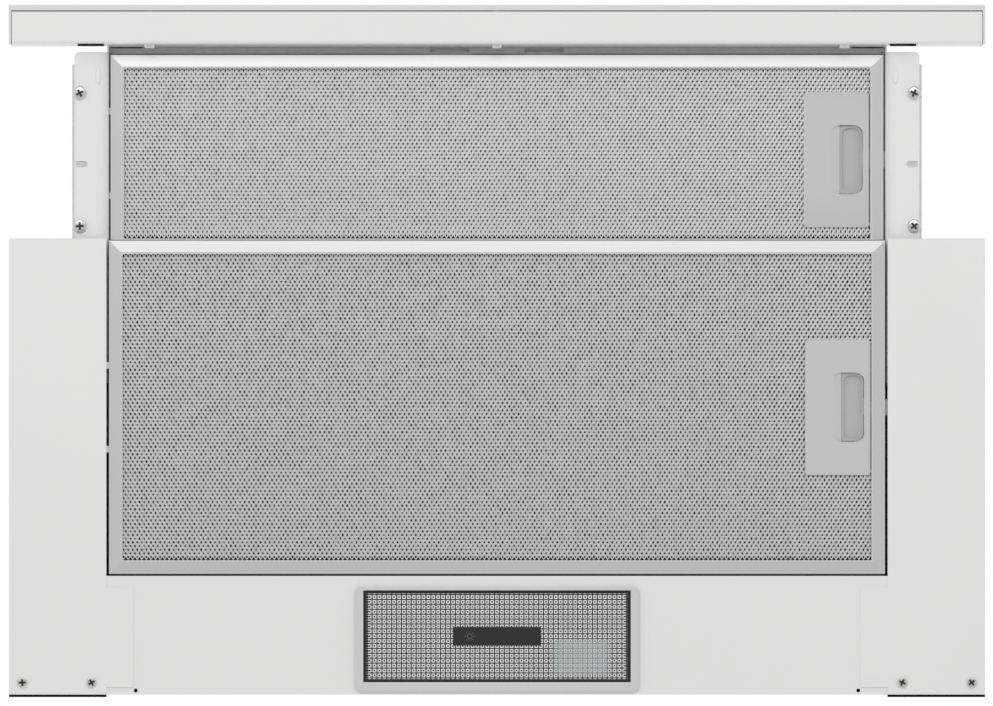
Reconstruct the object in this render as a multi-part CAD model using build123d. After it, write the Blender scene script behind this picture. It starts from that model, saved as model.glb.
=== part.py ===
from build123d import *
import os
from math import sqrt

# Telescopic (pull-out) range hood for a 600 mm kitchen cabinet, drawer pulled out.
# Millimetres. +X is the user's right, -Y the front, +Z up. The origin is the middle of
# the hood's footprint with the drawer open, on the plane of its lowest face.

# ---- Driving dimensions ----
hood_width = 598.0  # across the front panel and across the side covers
body_depth = 279.5  # side cover's front edge to the back of the body
drawer_travel = 117.6
body_height = 173.0
filter_window = 476.6  # between the drawer's two side walls

# ---- Sheet metal and general clearances ----
sheet = 0.8
thick_sheet = 1.0
slip = 0.3  # between a moving piece and a fixed one
hairline = 0.05  # between a screw and its hole, or a shaft and its bearing
seal_depth = 1.5

# ---- Front panel ----
panel_height = 40.0
panel_depth = 24.1
fascia_return = 3.4
fascia_sheet = 1.0
fascia_end = 1.4
panel_seam = 0.6
carrier_lift = 0.6
carrier_bend = 2.5
panel_screw_inset = 25.3  # from the drawer wall's inner face
panel_screw_height = 8.0
panel_screw_head = 3.85
panel_screw_proud = 2.5
panel_screw_shank = 1.9
panel_screw_length = 16.0
panel_screw_dome = 1.0
cross_reach = 2.0
cross_half = 0.45
cross_depth = 1.3
boss_radius = 4.0
buffer_width = 16.0
buffer_proud = 1.0
buffer_height = 4.5
buffer_bottom = 1.5
buffer_inset = 2.5  # from the drawer wall's inner face

# ---- Switches in the front panel ----
switch_length = 67.6
switch_height = 17.6
switch_end_gap = 9.2
switch_centre_height = 20.0
switch_body_depth = 18.0
bezel_depth = 3.1
bezel_recess = 2.2
knob_width = 6.0
knob_height = 8.0
light_travel = 8.0
speed_travel = 24.0
knob_track_gap = 8.0
knob_stem = 8.0
knob_grooves = 3
knob_groove_width = 0.6

# ---- Drawer ----
rail_bottom = 6.5
rail_sheet = 1.0
rail_bend = 9.0  # outer radius of the bend between flange and side wall
rail_flange = 20.7  # side wall's inner face to the flange's edge
rail_nose = 4.6  # panel's back to the flange's front end
rail_corner = 3.0
drawer_height = 33.0
deck_length = 141.0
rear_bar_height = 13.0
rear_bar_depth = 8.0
ledge_height = 24.0
ledge_depth = 5.0
ledge_slot_length = 24.0
ledge_slot_width = 2.4
ledge_slot_pitch = 29.0
ledge_relief_length = 19.0
ledge_relief_width = 0.8
ledge_relief_inset = 1.0
rail_slot_length = 6.8
rail_slot_width = 3.7
rail_slot_offset = 16.2  # from the side wall's inner face
rail_slot_setback = 73.3
rail_screw_offset = 17.4  # from the side wall's inner face
rail_screw_head = 3.8
rail_screw_drop = 2.2
rail_screw_dome = 0.8
rail_screw_shank = 1.9
rail_screw_setbacks = (29.8, 111.3)  # behind the panel's back
washer_radius = 4.4
washer_thick = 0.5

# ---- Ball slides ----
slide_width = 11.8
slide_height = 11.5
slide_wall = 1.3
slide_nose = 12.1  # panel's back to the moving member
slide_offset = 10.3  # side wall's inner face to the moving member
ball_radius = 1.5
ball_play = 0.1
cage_wall = 0.6
cage_floor = 0.5
cage_ball_pitch = 14.0
cage_drop = 2.0  # moving member's edge to the cage's edge
cage_front_gap = 2.0
cage_rear_gap = 4.0
web_floor_gap = 1.2
slide_ledge_height = 21.0
slide_front_gap = 7.0
slide_rear_gap = 5.5
housing_side_gap = 1.6  # slide's outer side to the housing's wall
deck_gap = 2.0  # drawer deck to the housing's front

# ---- Side covers, rear panel and fixings ----
cover_height = 3.0
cover_inner_gap = 1.1  # drawer wall's inner face to the cover's inner edge
cover_lip_height = 3.8
cover_hem = 5.0
cover_flange_height = 11.0
cover_lip_setback = 2.0
tab_reach = 16.4
tab_length = 60.7
tab_setback = 4.6
cover_screw_outer = 8.2  # from the cover's outer edge
cover_screw_inner = 9.0  # from the cover's inner edge
cover_screw_setback = 7.4
cover_screw_head = 3.35
cover_screw_drop = 1.2
cover_screw_shank = 1.9
cover_screw_end = 2.0
seal_lap = 0.2
seal_rise = 3.0
foot_depth = 13.0
foot_inset = 4.6
foot_thick = 1.5
rear_panel_depth = 72.7
rear_panel_lip = 11.4
rear_panel_lap = 0.6  # past the cover's inner edge
rear_hole_radius = 1.2
rear_hole_offset = 18.0
rear_hole_setback = 2.5
bracket_gap = 18.0
bracket_length = 160.0
bracket_back_gap = 30.5  # to the body's back
bracket_height = 100.0
bracket_base = 21.0
bracket_hole_pitch = 60.0
bracket_hole_radius = 2.5
bracket_hole_height = 70.0
bracket_screw_height = 96.0
bracket_screw_head = 3.35
bracket_screw_proud = 2.0

# ---- Grease filters ----
filter_height = 9.0
filter_border = 8.3
filter_bevel = 0.6
filter_slope_width = 7.1
filter_slope_rise = 1.0
mesh_thick = 3.0
mesh_lift = 2.2
fixed_filter_bottom = 4.0
fixed_filter_side_gap = 0.5
fixed_filter_front_gap = 1.3
fixed_filter_rear_gap = 1.2
fixed_pivot_lift = 1.6
fixed_pivot_pitch = 51.4
drawer_filter_bottom = 14.5
drawer_filter_side_gap = 1.0
drawer_filter_front_gap = 6.1
drawer_filter_rear_gap = 0.6
drawer_filter_rim = 0.8
drawer_pivot_lift = 2.5
drawer_pivot_pitch = 52.0
drawer_handle_share = 0.675  # of the window's spare length, ahead of the handle
pivot_bead = 0.9
pivot_play = 0.1
pivot_tab = 0.8
pivot_length = 4.0
plate_width = 40.0
plate_length = 83.0
plate_inset = 8.9
plate_thick = 1.0
plate_corner = 2.0
plate_lap = 3.0  # plate's edge over the mesh
recess_width = 19.3
recess_length = 42.4
recess_inset = 12.8
recess_radius = 5.3
ramp_width = 5.2
dish_rim = 1.5
dish_depth = 1.2
cup_wall = 1.0
cup_corner = 0.5
cup_top_gap = 0.5
latch_travel = 4.0
latch_thick = 2.4
latch_lift = 3.0
latch_bar = 4.0
latch_bar_inset = 1.5
latch_play = 0.3
tongue_width = 10.0
tongue_gap = 0.2
arm_width = 6.0
arm_offset = 33.0
spring_length = 8.0
spring_radius = 1.3
spring_wire = 0.25
spring_turns = 6
lug_inset = 5.0
lug_thick = 1.5
lug_rise = 1.0

# ---- Lamp ----
bezel_width = 174.8
bezel_length = 65.6
bezel_proud = 2.6
bezel_bevel = 1.2
bezel_setback = 1.3
bezel_radius = 5.0
lens_width = 162.8
lens_length = 55.2
lens_thick = 2.0
lens_gap = 0.5
lens_setback = 8.2
lens_recess = 0.4
clip_length = 20.0
clip_height = 3.4
clip_thick = 2.4
label_width = 53.8
label_length = 11.3
label_thick = 0.15
lamp_box_height = 36.0
lamp_box_wall = 1.0
bulb_radius = 12.5
bulb_length = 46.0
bulb_base_radius = 6.9
bulb_base_length = 12.0
bulb_neck = 8.0
bulb_neck_taper = 30.0
bulb_play = 1.0
bulb_rear_gap = 2.5
bulb_top_gap = 3.5
socket_radius = 11.0
socket_length = 22.0

# ---- Blower ----
impeller_radius = 42.0
impeller_width = 80.0
blade_count = 24
blade_depth = 9.0
blade_thick = 1.0
blade_lean = 25.0
blade_sink = 0.5
ring_width = 3.0
disc_thick = 2.0
disc_gap = 1.0
hub_radius = 9.0
hub_length = 24.0
scroll_start = 45.0  # spiral's first radius
scroll_growth = 9.0  # added at each quarter turn
scroll_half_width = 46.0
scroll_wall = 1.5
scroll_throat = 93.0
scroll_floor_gap = 6.5  # drawer deck to scroll
inlet_radius = 34.0
motor_radius = 28.0
motor_length = 42.0
motor_bend = 4.0
shaft_radius = 3.0
shaft_end_gap = 3.0
bore_end_wall = 2.0
motor_plate = 2.0
motor_ring_lap = 8.0
motor_ring_inset = 1.0
motor_hub = 14.0
motor_arm_reach = 4.0
motor_arm_width = 9.0
motor_shaft_gap = 0.5

# ---- Capacitor, wiring box and cable gland ----
capacitor_radius = 14.0
capacitor_length = 52.0
capacitor_inset = 113.0  # from the housing's side
capacitor_height = 120.0
capacitor_foot_gap = 2.0
capacitor_foot_inset = 8.0
capacitor_foot_height = 16.0
wiring_box_length = 80.0
wiring_box_depth = 45.0
wiring_box_height = 32.0
wiring_box_inset = 43.0  # from the housing's side
wiring_box_drop = 23.0  # from the housing's top
gland_setback = 32.0
gland_radius = 7.0
gland_bore = 4.0
gland_length = 22.0
gland_drop = 8.0
gland_collar = 11.0
gland_collar_thick = 5.0

# ---- Duct collar ----
collar_radius = 59.5
collar_wall = 2.0
collar_height = 30.0
collar_flange_radius = 72.0
collar_flange_thick = 1.5
flap_gap = 1.0
flap_thick = 1.2
flap_axis_offset = 2.8
flap_axis_height = 9.4
flap_barrel = 1.1
flap_pin = 0.8
flap_boss = 4.0
flap_boss_half = 2.0
flap_boss_up = 1.6
flap_boss_down = 1.5
flap_ledge = 3.0
flap_ledge_thick = 1.5
flap_swing_room = 2.0
crossbar_half = 1.2
crossbar_depth = 4.0
crossbar_up = 1.0

# ---- Places worked out from the sizes above ----
half_width = hood_width / 2
open_depth = panel_depth + buffer_proud + slip + drawer_travel + body_depth + seal_depth
front_y = -open_depth / 2
rear_y = open_depth / 2
panel_back = front_y + panel_depth
body_back = rear_y - seal_depth
body_front = body_back - body_depth
body_mid = (body_front + body_back) / 2
wall_x = filter_window / 2
rear_panel_front = body_back - rear_panel_depth
drawer_back = rear_panel_front - slip - drawer_travel
cover_x = wall_x + cover_inner_gap
cover_top = cover_height + sheet
rear_panel_top = cover_top + sheet
deck_top = drawer_height + thick_sheet
slide_x = wall_x + slide_offset
shell_x = slide_x + slide_width + housing_side_gap + thick_sheet
slide_floor = rail_bottom + rail_sheet
flange_x = wall_x + rail_flange
scroll_z = deck_top + scroll_floor_gap + scroll_wall + scroll_start + scroll_growth
scroll_top = body_height - thick_sheet
throat_rear = scroll_growth + scroll_start + 2 * scroll_growth
scroll_y = body_mid + scroll_throat / 2 - throat_rear
collar_y = body_mid


def block(x, y, z):
    """Box between three (low, high) pairs."""
    size = (x[1] - x[0], y[1] - y[0], z[1] - z[0])
    middle = (sum(x) / 2, sum(y) / 2, sum(z) / 2)
    return Pos(*middle) * Box(*size)


def rod(start, direction, radius, length):
    """Cylinder from a start point along a direction."""
    return extrude(Plane(start, z_dir=direction) * Circle(radius), length)


def plate_with_corners(x, y, z, radius):
    """Flat plate whose four upright edges are rounded."""
    middle = (sum(x) / 2, sum(y) / 2, z[0])
    outline = RectangleRounded(x[1] - x[0], y[1] - y[0], radius)
    return extrude(Pos(*middle) * outline, z[1] - z[0])


def other_side(shape):
    """Mirror image in the plane x = 0."""
    return mirror(shape, about=Plane.YZ)


def save(name, shape):
    """Write one node's solids to its STEP file."""
    solids = shape if isinstance(shape, list) else [shape]
    pieces = [solid for item in solids for solid in item.solids()]
    export_step(Compound(children=pieces) if len(pieces) > 1 else pieces[0], f"parts/{name}.step")


def panel_screw_places():
    """X of the three screws along the front panel."""
    outer = wall_x - panel_screw_inset
    return (-outer, 0.0, outer)


def switch_span():
    """Low and high x of the switch opening in the front panel."""
    high = half_width - switch_end_gap
    return (high - switch_length, high)


# ---- Front panel ----
def front_fascia():
    """Painted sheet tray: front, top and bottom returns, end returns and screw bosses."""
    front = (front_y, front_y + fascia_sheet)
    lips = (front_y, front_y + fascia_return)
    tray = block((-half_width, half_width), front, (0, panel_height))
    tray += block((-half_width, half_width), lips, (0, fascia_sheet))
    tray += block((-half_width, half_width), lips, (panel_height - fascia_sheet, panel_height))
    end = block((half_width - fascia_end, half_width), (front_y, panel_back), (0, panel_height))
    tray += end + other_side(end)
    boss_length = panel_depth - fascia_sheet - thick_sheet
    for x in panel_screw_places():
        start = (x, front_y + fascia_sheet, panel_screw_height)
        boss = rod(start, (0, 1, 0), boss_radius, boss_length)
        bore = rod(start, (0, 1, 0), panel_screw_shank + hairline, boss_length)
        tray += boss - bore
    low = switch_centre_height - switch_height / 2
    return tray - block(switch_span(), front, (low, low + switch_height))


def front_carrier():
    """Channel behind the fascia, open to the front, with a rounded lower rear edge."""
    reach = half_width - fascia_end - slip
    low_y = front_y + fascia_return + panel_seam
    z = (carrier_lift, panel_height - carrier_lift)
    outer = block((-reach, reach), (low_y, panel_back), z)
    rear_bottom = outer.edges().filter_by(Axis.X).group_by(Axis.Z)[0].sort_by(Axis.Y)[-1]
    outer = fillet(rear_bottom, carrier_bend)
    inner_z = (z[0] + thick_sheet, z[1] - thick_sheet)
    inner = block((-reach, reach), (low_y, panel_back - thick_sheet), inner_z)
    inner_edge = inner.edges().filter_by(Axis.X).group_by(Axis.Z)[0].sort_by(Axis.Y)[-1]
    channel = outer - fillet(inner_edge, carrier_bend - thick_sheet)
    for x in panel_screw_places():
        start = (x, panel_back - thick_sheet, panel_screw_height)
        channel -= rod(start, (0, 1, 0), panel_screw_shank + hairline, thick_sheet)
    return channel


def fascia_screws():
    """Pan heads on the panel's back with shanks into the fascia's bosses."""
    screws = []
    end = panel_back + panel_screw_proud
    cross_y = (end - cross_depth, end)
    z = panel_screw_height
    for x in panel_screw_places():
        head = rod((x, panel_back, z), (0, 1, 0), panel_screw_head, panel_screw_proud)
        head = fillet(head.edges().sort_by(Axis.Y)[-1], panel_screw_dome)
        head -= block((x - cross_reach, x + cross_reach), cross_y, (z - cross_half, z + cross_half))
        head -= block((x - cross_half, x + cross_half), cross_y, (z - cross_reach, z + cross_reach))
        shank = rod((x, panel_back, z), (0, -1, 0), panel_screw_shank, panel_screw_length)
        screws.append(head + shank)
    return screws


def rubber_buffers():
    """Two pads on the panel's back that meet the side covers when the drawer shuts."""
    low = wall_x + buffer_inset
    y = (panel_back, panel_back + buffer_proud)
    pad = block((low, low + buffer_width), y, (buffer_bottom, buffer_bottom + buffer_height))
    return [pad, other_side(pad)]


def knob_track(centre, travel, depth):
    """Slot that a slide knob runs in, as deep as told, opening at the front."""
    length = knob_width + travel + 2 * slip
    half = knob_height / 2 + slip
    x = (centre - length / 2, centre + length / 2)
    z = (switch_centre_height - half, switch_centre_height + half)
    return block(x, (front_y, front_y + depth), z)


def knob_centres():
    """Middles of the light track and of the speed track."""
    low, high = switch_span()
    light = low + knob_track_gap + (knob_width + light_travel) / 2
    speed = high - knob_track_gap - (knob_width + speed_travel) / 2
    return light, speed


def switch_bezel():
    """Dished insert in the front panel with two tracks."""
    low, high = switch_span()
    z_low = switch_centre_height - switch_height / 2
    x = (low + panel_seam, high - panel_seam)
    z = (z_low + panel_seam, z_low + switch_height - panel_seam)
    insert = block(x, (front_y, front_y + bezel_depth), z)
    dish_x = (x[0] + sheet, x[1] - sheet)
    dish_z = (z[0] + sheet, z[1] - sheet)
    insert -= block(dish_x, (front_y, front_y + bezel_recess), dish_z)
    light, speed = knob_centres()
    insert -= knob_track(light, light_travel, bezel_depth)
    return insert - knob_track(speed, speed_travel, bezel_depth)


def switch_housing():
    """Body of the two slide switches, behind the insert."""
    low, high = switch_span()
    z_low = switch_centre_height - switch_height / 2
    y_low = front_y + bezel_depth
    body = block((low, high), (y_low, y_low + switch_body_depth), (z_low, z_low + switch_height))
    light, speed = knob_centres()
    depth = bezel_depth + knob_stem
    return body - knob_track(light, light_travel, depth) - knob_track(speed, speed_travel, depth)


def slide_knob(centre, travel):
    """Ribbed thumb piece at the low end of its track, with a stem into the switch body."""
    left = centre - travel / 2 - knob_width / 2
    x = (left, left + knob_width)
    z = (switch_centre_height - knob_height / 2, switch_centre_height + knob_height / 2)
    knob = block(x, (front_y + slip, front_y + bezel_depth + knob_stem - slip), z)
    half = knob_groove_width / 2
    for number in range(knob_grooves):
        groove = left + knob_width * (number + 1) / (knob_grooves + 1)
        knob -= block((groove - half, groove + half), (front_y, front_y + 2 * slip), z)
    return knob


# ---- Drawer ----
def rail_profile(start_y, length):
    """Side wall, large bend and outward flange of the right-hand drawer side."""
    centre = (wall_x + rail_bend, rail_bottom + rail_bend)
    inner_bend = rail_bend - rail_sheet
    outer_arc = CenterArc(centre, rail_bend, 180, 90)
    inner_arc = CenterArc(centre, inner_bend, 180, 90)
    flange = Polyline(
        (centre[0], rail_bottom), (flange_x, rail_bottom), (flange_x, slide_floor), (centre[0], slide_floor)
    )
    wall_back = wall_x + rail_sheet
    wall = Polyline(
        (wall_back, centre[1]), (wall_back, drawer_height), (wall_x, drawer_height), (wall_x, centre[1])
    )
    face = make_face([outer_arc, flange, inner_arc, wall])
    upright = Plane(origin=(0, start_y, 0), x_dir=(1, 0, 0), z_dir=(0, -1, 0))
    return extrude(upright * face, -length)


def drawer_side_right():
    """Folded drawer side with screw holes, slot and dimple in its flange."""
    nose = panel_back + rail_nose
    side = rail_profile(nose, drawer_back - nose)
    bend_top = rail_bottom + rail_bend
    side += block((wall_x, wall_x + rail_sheet), (panel_back, nose), (bend_top, drawer_height))
    upright = side.edges().filter_by(Axis.Z)
    side = fillet(upright.group_by(Axis.X)[-1].sort_by(Axis.Y)[0], rail_corner)
    z = (rail_bottom, slide_floor)
    for setback in rail_screw_setbacks:
        start = (wall_x + rail_screw_offset, panel_back + setback, rail_bottom)
        side -= rod(start, (0, 0, 1), rail_screw_shank + hairline, rail_sheet)
    slot_y = panel_back + rail_slot_setback
    half_slot = rail_slot_width / 2
    round_x = wall_x + rail_slot_offset - rail_slot_length / 2 + half_slot
    outer_x = round_x + rail_slot_length - half_slot
    side -= rod((round_x, slot_y, rail_bottom), (0, 0, 1), half_slot, rail_sheet)
    return side - block((round_x, outer_x), (slot_y - half_slot, slot_y + half_slot), z)


def drawer_side_with_catch():
    """Right drawer side, with the hole the filter's latch tongue points at."""
    low = drawer_filter_bottom + latch_lift - latch_play
    z = (low, low + latch_thick + 2 * latch_play)
    half = tongue_width / 2 + latch_play
    y = drawer_handle_y()
    return drawer_side_right() - block((wall_x, wall_x + rail_sheet), (y - half, y + half), z)


def drawer_side_with_pivots():
    """Left drawer side, with the two slots the filter's tabs turn in."""
    side = other_side(drawer_side_right())
    z = drawer_filter_bottom + drawer_pivot_lift
    gap = pivot_bead + pivot_play
    half = pivot_length / 2 + slip
    for y in drawer_pivot_places():
        side -= block((-wall_x - rail_sheet, -wall_x), (y - half, y + half), (z - gap, z + gap))
    return side


def drawer_front_wall():
    """Upright behind the front panel, with a slotted ledge over the filter's front edge."""
    bend_top = rail_bottom + rail_bend
    wall = block((-wall_x, wall_x), (panel_back, panel_back + thick_sheet), (bend_top, drawer_height))
    ledge_z = (ledge_height, ledge_height + sheet)
    wall += block((-wall_x, wall_x), (panel_back, panel_back + ledge_depth), ledge_z)
    slot_y = panel_back + thick_sheet + ledge_slot_width / 2 + sheet
    for x in (-ledge_slot_pitch, ledge_slot_pitch):
        wall -= block(
            (x - ledge_slot_length / 2, x + ledge_slot_length / 2),
            (slot_y - ledge_slot_width / 2, slot_y + ledge_slot_width / 2),
            ledge_z,
        )
    relief_x = (wall_x - ledge_relief_inset - ledge_relief_length, wall_x - ledge_relief_inset)
    relief_y = (panel_back + thick_sheet, panel_back + thick_sheet + ledge_relief_width)
    relief = block(relief_x, relief_y, ledge_z)
    return wall - relief - other_side(relief)


def drawer_top_deck():
    """Flat cover over the drawer's filter."""
    reach = wall_x + rail_sheet
    return block((-reach, reach), (panel_back, panel_back + deck_length), (drawer_height, deck_top))


def drawer_rear_bar():
    """Angle that ties the two drawer sides together at the back."""
    z_low = drawer_height - rear_bar_height
    bar = block((-wall_x, wall_x), (drawer_back - thick_sheet, drawer_back), (z_low, drawer_height))
    top = (drawer_height - thick_sheet, drawer_height)
    return bar + block((-wall_x, wall_x), (drawer_back - rear_bar_depth, drawer_back), top)


def rail_screws():
    """Pan-head screws with washers under the two drawer flanges."""
    screws = []
    for setback in rail_screw_setbacks:
        x = wall_x + rail_screw_offset
        y = panel_back + setback
        washer = rod((x, y, rail_bottom), (0, 0, -1), washer_radius, washer_thick)
        seat = rail_bottom - washer_thick
        head = rod((x, y, seat), (0, 0, -1), rail_screw_head, rail_screw_drop - washer_thick)
        head = fillet(head.edges().sort_by(Axis.Z)[0], rail_screw_dome)
        shank = rod((x, y, rail_bottom), (0, 0, 1), rail_screw_shank, rail_sheet + slide_wall)
        screw = washer + head + shank
        screws += [screw, other_side(screw)]
    return screws


# ---- Ball slides ----
def slide_moving_right():
    """Channel screwed on the drawer's flange, open upwards."""
    y = (panel_back + slide_nose, drawer_back)
    channel = block((slide_x, slide_x + slide_width), y, (slide_floor, slide_floor + slide_height))
    inside_x = (slide_x + slide_wall, slide_x + slide_width - slide_wall)
    channel -= block(inside_x, y, (slide_floor + slide_wall, slide_floor + slide_height))
    for setback in rail_screw_setbacks:
        start = (wall_x + rail_screw_offset, panel_back + setback, slide_floor)
        channel -= rod(start, (0, 0, 1), rail_screw_shank + hairline, slide_wall)
    return channel


def web_half_width():
    """Half the thickness of the fixed member's web, between the two rows of balls."""
    inside = slide_width - 2 * slide_wall
    return inside / 2 - 2 * (ball_radius + ball_play)


def slide_fixed_right():
    """Web hanging between the balls, under a flange fixed to the housing's ledge."""
    middle = slide_x + slide_width / 2
    y = (body_front + slide_front_gap, body_back - slide_rear_gap)
    web_x = (middle - web_half_width(), middle + web_half_width())
    web_z = (slide_floor + slide_wall + web_floor_gap, slide_ledge_height)
    flange_half = slide_width / 2
    flange_z = (slide_ledge_height - thick_sheet, slide_ledge_height)
    flange = block((middle - flange_half, middle + flange_half), y, flange_z)
    return block(web_x, y, web_z) + flange


def cage_span():
    """Front and back of a ball cage, inside the stretch where both members overlap."""
    return (body_front + slide_front_gap + cage_front_gap, drawer_back - cage_rear_gap)


def ball_cage_right():
    """U-shaped strip with a row of balls on each side of the web."""
    middle = slide_x + slide_width / 2
    row = web_half_width() + ball_radius + ball_play
    y = cage_span()
    low = slide_floor + slide_wall + (web_floor_gap - cage_floor) / 2
    top = slide_floor + slide_height - cage_drop
    half = row + cage_wall / 2
    cage = block((middle - half, middle + half), y, (low, low + cage_floor))
    ball_z = (low + top) / 2 + cage_floor
    count = int((y[1] - y[0] - 2 * ball_radius) // cage_ball_pitch) + 1
    first = (y[0] + y[1] - (count - 1) * cage_ball_pitch) / 2
    balls = []
    for side in (-1, 1):
        x = middle + side * row
        cage += block((x - cage_wall / 2, x + cage_wall / 2), y, (low, top))
        for number in range(count):
            y_ball = first + number * cage_ball_pitch
            start = (x - cage_wall, y_ball, ball_z)
            cage -= rod(start, (1, 0, 0), ball_radius + hairline, 2 * cage_wall)
            balls.append(Pos(x, y_ball, ball_z) * Sphere(ball_radius))
    return [cage, *balls]


# ---- Body sheet metal ----
def housing_shell():
    """Open-bottomed sheet box with slide ledges, notches for the feet and the duct hole."""
    sides_z = (cover_top, body_height)
    shell = block((shell_x - thick_sheet, shell_x), (body_front, body_back), sides_z)
    ledge_z = (slide_ledge_height, slide_ledge_height + thick_sheet)
    ledge_y = (body_front + thick_sheet, body_back)
    shell += block((slide_x - sheet, shell_x), ledge_y, ledge_z)
    foot_z = (cover_top, cover_top + foot_thick)
    foot_y = (body_back - thick_sheet - foot_depth, body_back - thick_sheet)
    shell -= block((shell_x - thick_sheet, shell_x), foot_y, foot_z)
    shell += other_side(shell)
    front_z = (deck_top + deck_gap, body_height)
    shell += block((-shell_x, shell_x), (body_front, body_front + thick_sheet), front_z)
    rear_z = (rear_panel_top, body_height)
    shell += block((-shell_x, shell_x), (body_back - thick_sheet, body_back), rear_z)
    top_z = (body_height - thick_sheet, body_height)
    shell += block((-shell_x, shell_x), (body_front, body_back), top_z)
    hole = rod((0, collar_y, top_z[0]), (0, 0, 1), collar_radius - collar_wall, thick_sheet)
    gland = rod((*gland_place(), top_z[0]), (0, 0, 1), gland_radius, thick_sheet)
    return shell - hole - gland


def housing_feet():
    """Two flat bars that cross the housing's side walls and take the side cover screws."""
    foot_x = (cover_x + foot_inset, half_width - cover_hem - slip)
    foot_y = (body_back - thick_sheet - foot_depth, body_back - thick_sheet)
    foot = block(foot_x, foot_y, (cover_top, cover_top + foot_thick))
    for x in cover_screw_places():
        foot -= rod((x, cover_screw_y(), cover_top), (0, 0, 1), cover_screw_shank + hairline, foot_thick)
    return [foot, other_side(foot)]


def cover_screw_places():
    """X of the two screws through the right side cover."""
    return (cover_x + cover_screw_inner, half_width - cover_screw_outer)


def cover_screw_y():
    """Y of the side cover screws."""
    return body_back - cover_screw_setback


def side_cover_right():
    """Flat wing with inner lip, front flange, outer hem and a rear tab under the rear panel."""
    cover_z = (cover_height, cover_top)
    cover = block((cover_x, half_width), (body_front, body_back), cover_z)
    tab_back = body_back - tab_setback
    cover += block((cover_x - tab_reach, cover_x), (tab_back - tab_length, tab_back), cover_z)
    lip_y = (body_front + cover_lip_setback, rear_panel_front - fixed_filter_front_gap)
    cover += block((cover_x, cover_x + sheet), lip_y, (cover_top, cover_top + cover_lip_height))
    flange_z = (cover_top, cover_top + cover_flange_height)
    cover += block((shell_x + slip, half_width), (body_front, body_front + sheet), flange_z)
    hem_y = (body_front + sheet, body_back)
    cover += block((half_width - cover_hem, half_width), hem_y, (cover_top, cover_top + sheet))
    for x in cover_screw_places():
        cover -= rod((x, cover_screw_y(), cover_height), (0, 0, 1), cover_screw_shank + hairline, sheet)
    return cover


def side_cover_left():
    """Mirror of the right cover, with slots in its lip for the filter's tabs."""
    cover = other_side(side_cover_right())
    z = fixed_filter_bottom + fixed_pivot_lift
    gap = pivot_bead + pivot_play
    half = pivot_length / 2 + slip
    for y in fixed_pivot_places():
        cover -= block((-cover_x - sheet, -cover_x), (y - half, y + half), (z - gap, z + gap))
    return cover


def side_cover_screws():
    """Pan heads under the side covers, shanks into the housing's feet."""
    screws = []
    for x in cover_screw_places():
        head = rod((x, cover_screw_y(), cover_height), (0, 0, -1), cover_screw_head, cover_screw_drop)
        head = fillet(head.edges().sort_by(Axis.Z)[0], cover_screw_drop / 2)
        length = sheet + foot_thick + cover_screw_end
        shank = rod((x, cover_screw_y(), cover_height), (0, 0, 1), cover_screw_shank, length)
        screw = head + shank
        screws += [screw, other_side(screw)]
    return screws


def cover_seals():
    """Foam strips on the back of the side covers."""
    z = (cover_height - seal_lap, cover_top + seal_rise)
    strip = block((cover_x, half_width), (body_back, rear_y), z)
    return [strip, other_side(strip)]


def rear_panel():
    """Panel behind the filter, with a front lip, lamp opening and two small holes."""
    reach = cover_x + rear_panel_lap
    panel = block((-reach, reach), (rear_panel_front, body_back), (cover_top, rear_panel_top))
    lip_z = (rear_panel_top, rear_panel_top + rear_panel_lip)
    lip_reach = wall_x - slip
    panel += block((-lip_reach, lip_reach), (rear_panel_front, rear_panel_front + sheet), lip_z)
    box_x, box_y, _ = lamp_box()
    gap = lamp_box_wall + hairline
    opening_x = (box_x[0] - gap, box_x[1] + gap)
    opening_y = (box_y[0] - gap, box_y[1] + gap)
    panel -= block(opening_x, opening_y, (cover_top, rear_panel_top))
    for x in (rear_hole_offset - cover_x, cover_x - rear_hole_offset):
        panel -= rod((x, body_back - rear_hole_setback, cover_top), (0, 0, 1), rear_hole_radius, sheet)
    return panel


def bracket_span():
    """Front and back of a cabinet bracket."""
    back = body_back - bracket_back_gap
    return (back - bracket_length, back)


def cabinet_bracket_right():
    """Channel on the housing's side; its outer flange is screwed to the cabinet's wall."""
    y = bracket_span()
    z = (bracket_base, bracket_base + bracket_height)
    inner = block((shell_x, shell_x + thick_sheet), y, z)
    outer_x = shell_x + bracket_gap
    outer = block((outer_x - thick_sheet, outer_x), y, z)
    web = block((shell_x, outer_x), y, (z[0], z[0] + thick_sheet))
    bracket = inner + outer + web
    for offset in (-bracket_hole_pitch / 2, bracket_hole_pitch / 2):
        start = (outer_x - thick_sheet, sum(y) / 2 + offset, bracket_hole_height)
        bracket -= rod(start, (1, 0, 0), bracket_hole_radius, thick_sheet)
    return bracket


def bracket_screws():
    """Screw heads that hold the brackets on the housing's sides."""
    screws = []
    middle = sum(bracket_span()) / 2
    for y in (middle - bracket_hole_pitch / 2, middle + bracket_hole_pitch / 2):
        start = (shell_x + thick_sheet, y, bracket_screw_height)
        screw = rod(start, (1, 0, 0), bracket_screw_head, bracket_screw_proud)
        screws += [screw, other_side(screw)]
    return screws


# ---- Grease filters ----
def fixed_filter_span():
    """Front and back of the fixed filter."""
    return (body_front + fixed_filter_front_gap, rear_panel_front - fixed_filter_rear_gap)


def drawer_filter_span():
    """Front and back of the drawer's filter, which ends just ahead of the fixed one."""
    return (panel_back + drawer_filter_front_gap, fixed_filter_span()[0] - drawer_filter_rear_gap)


def fixed_handle_y():
    """Middle of the fixed filter's handle."""
    return sum(fixed_filter_span()) / 2


def drawer_window_span():
    """Front and back of the drawer filter's window."""
    front, back = drawer_filter_span()
    return (front + filter_border, back - drawer_filter_rim)


def drawer_handle_y():
    """Middle of the drawer filter's handle."""
    front, back = drawer_window_span()
    return front + drawer_handle_share * (back - front - plate_length) + plate_length / 2


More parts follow.
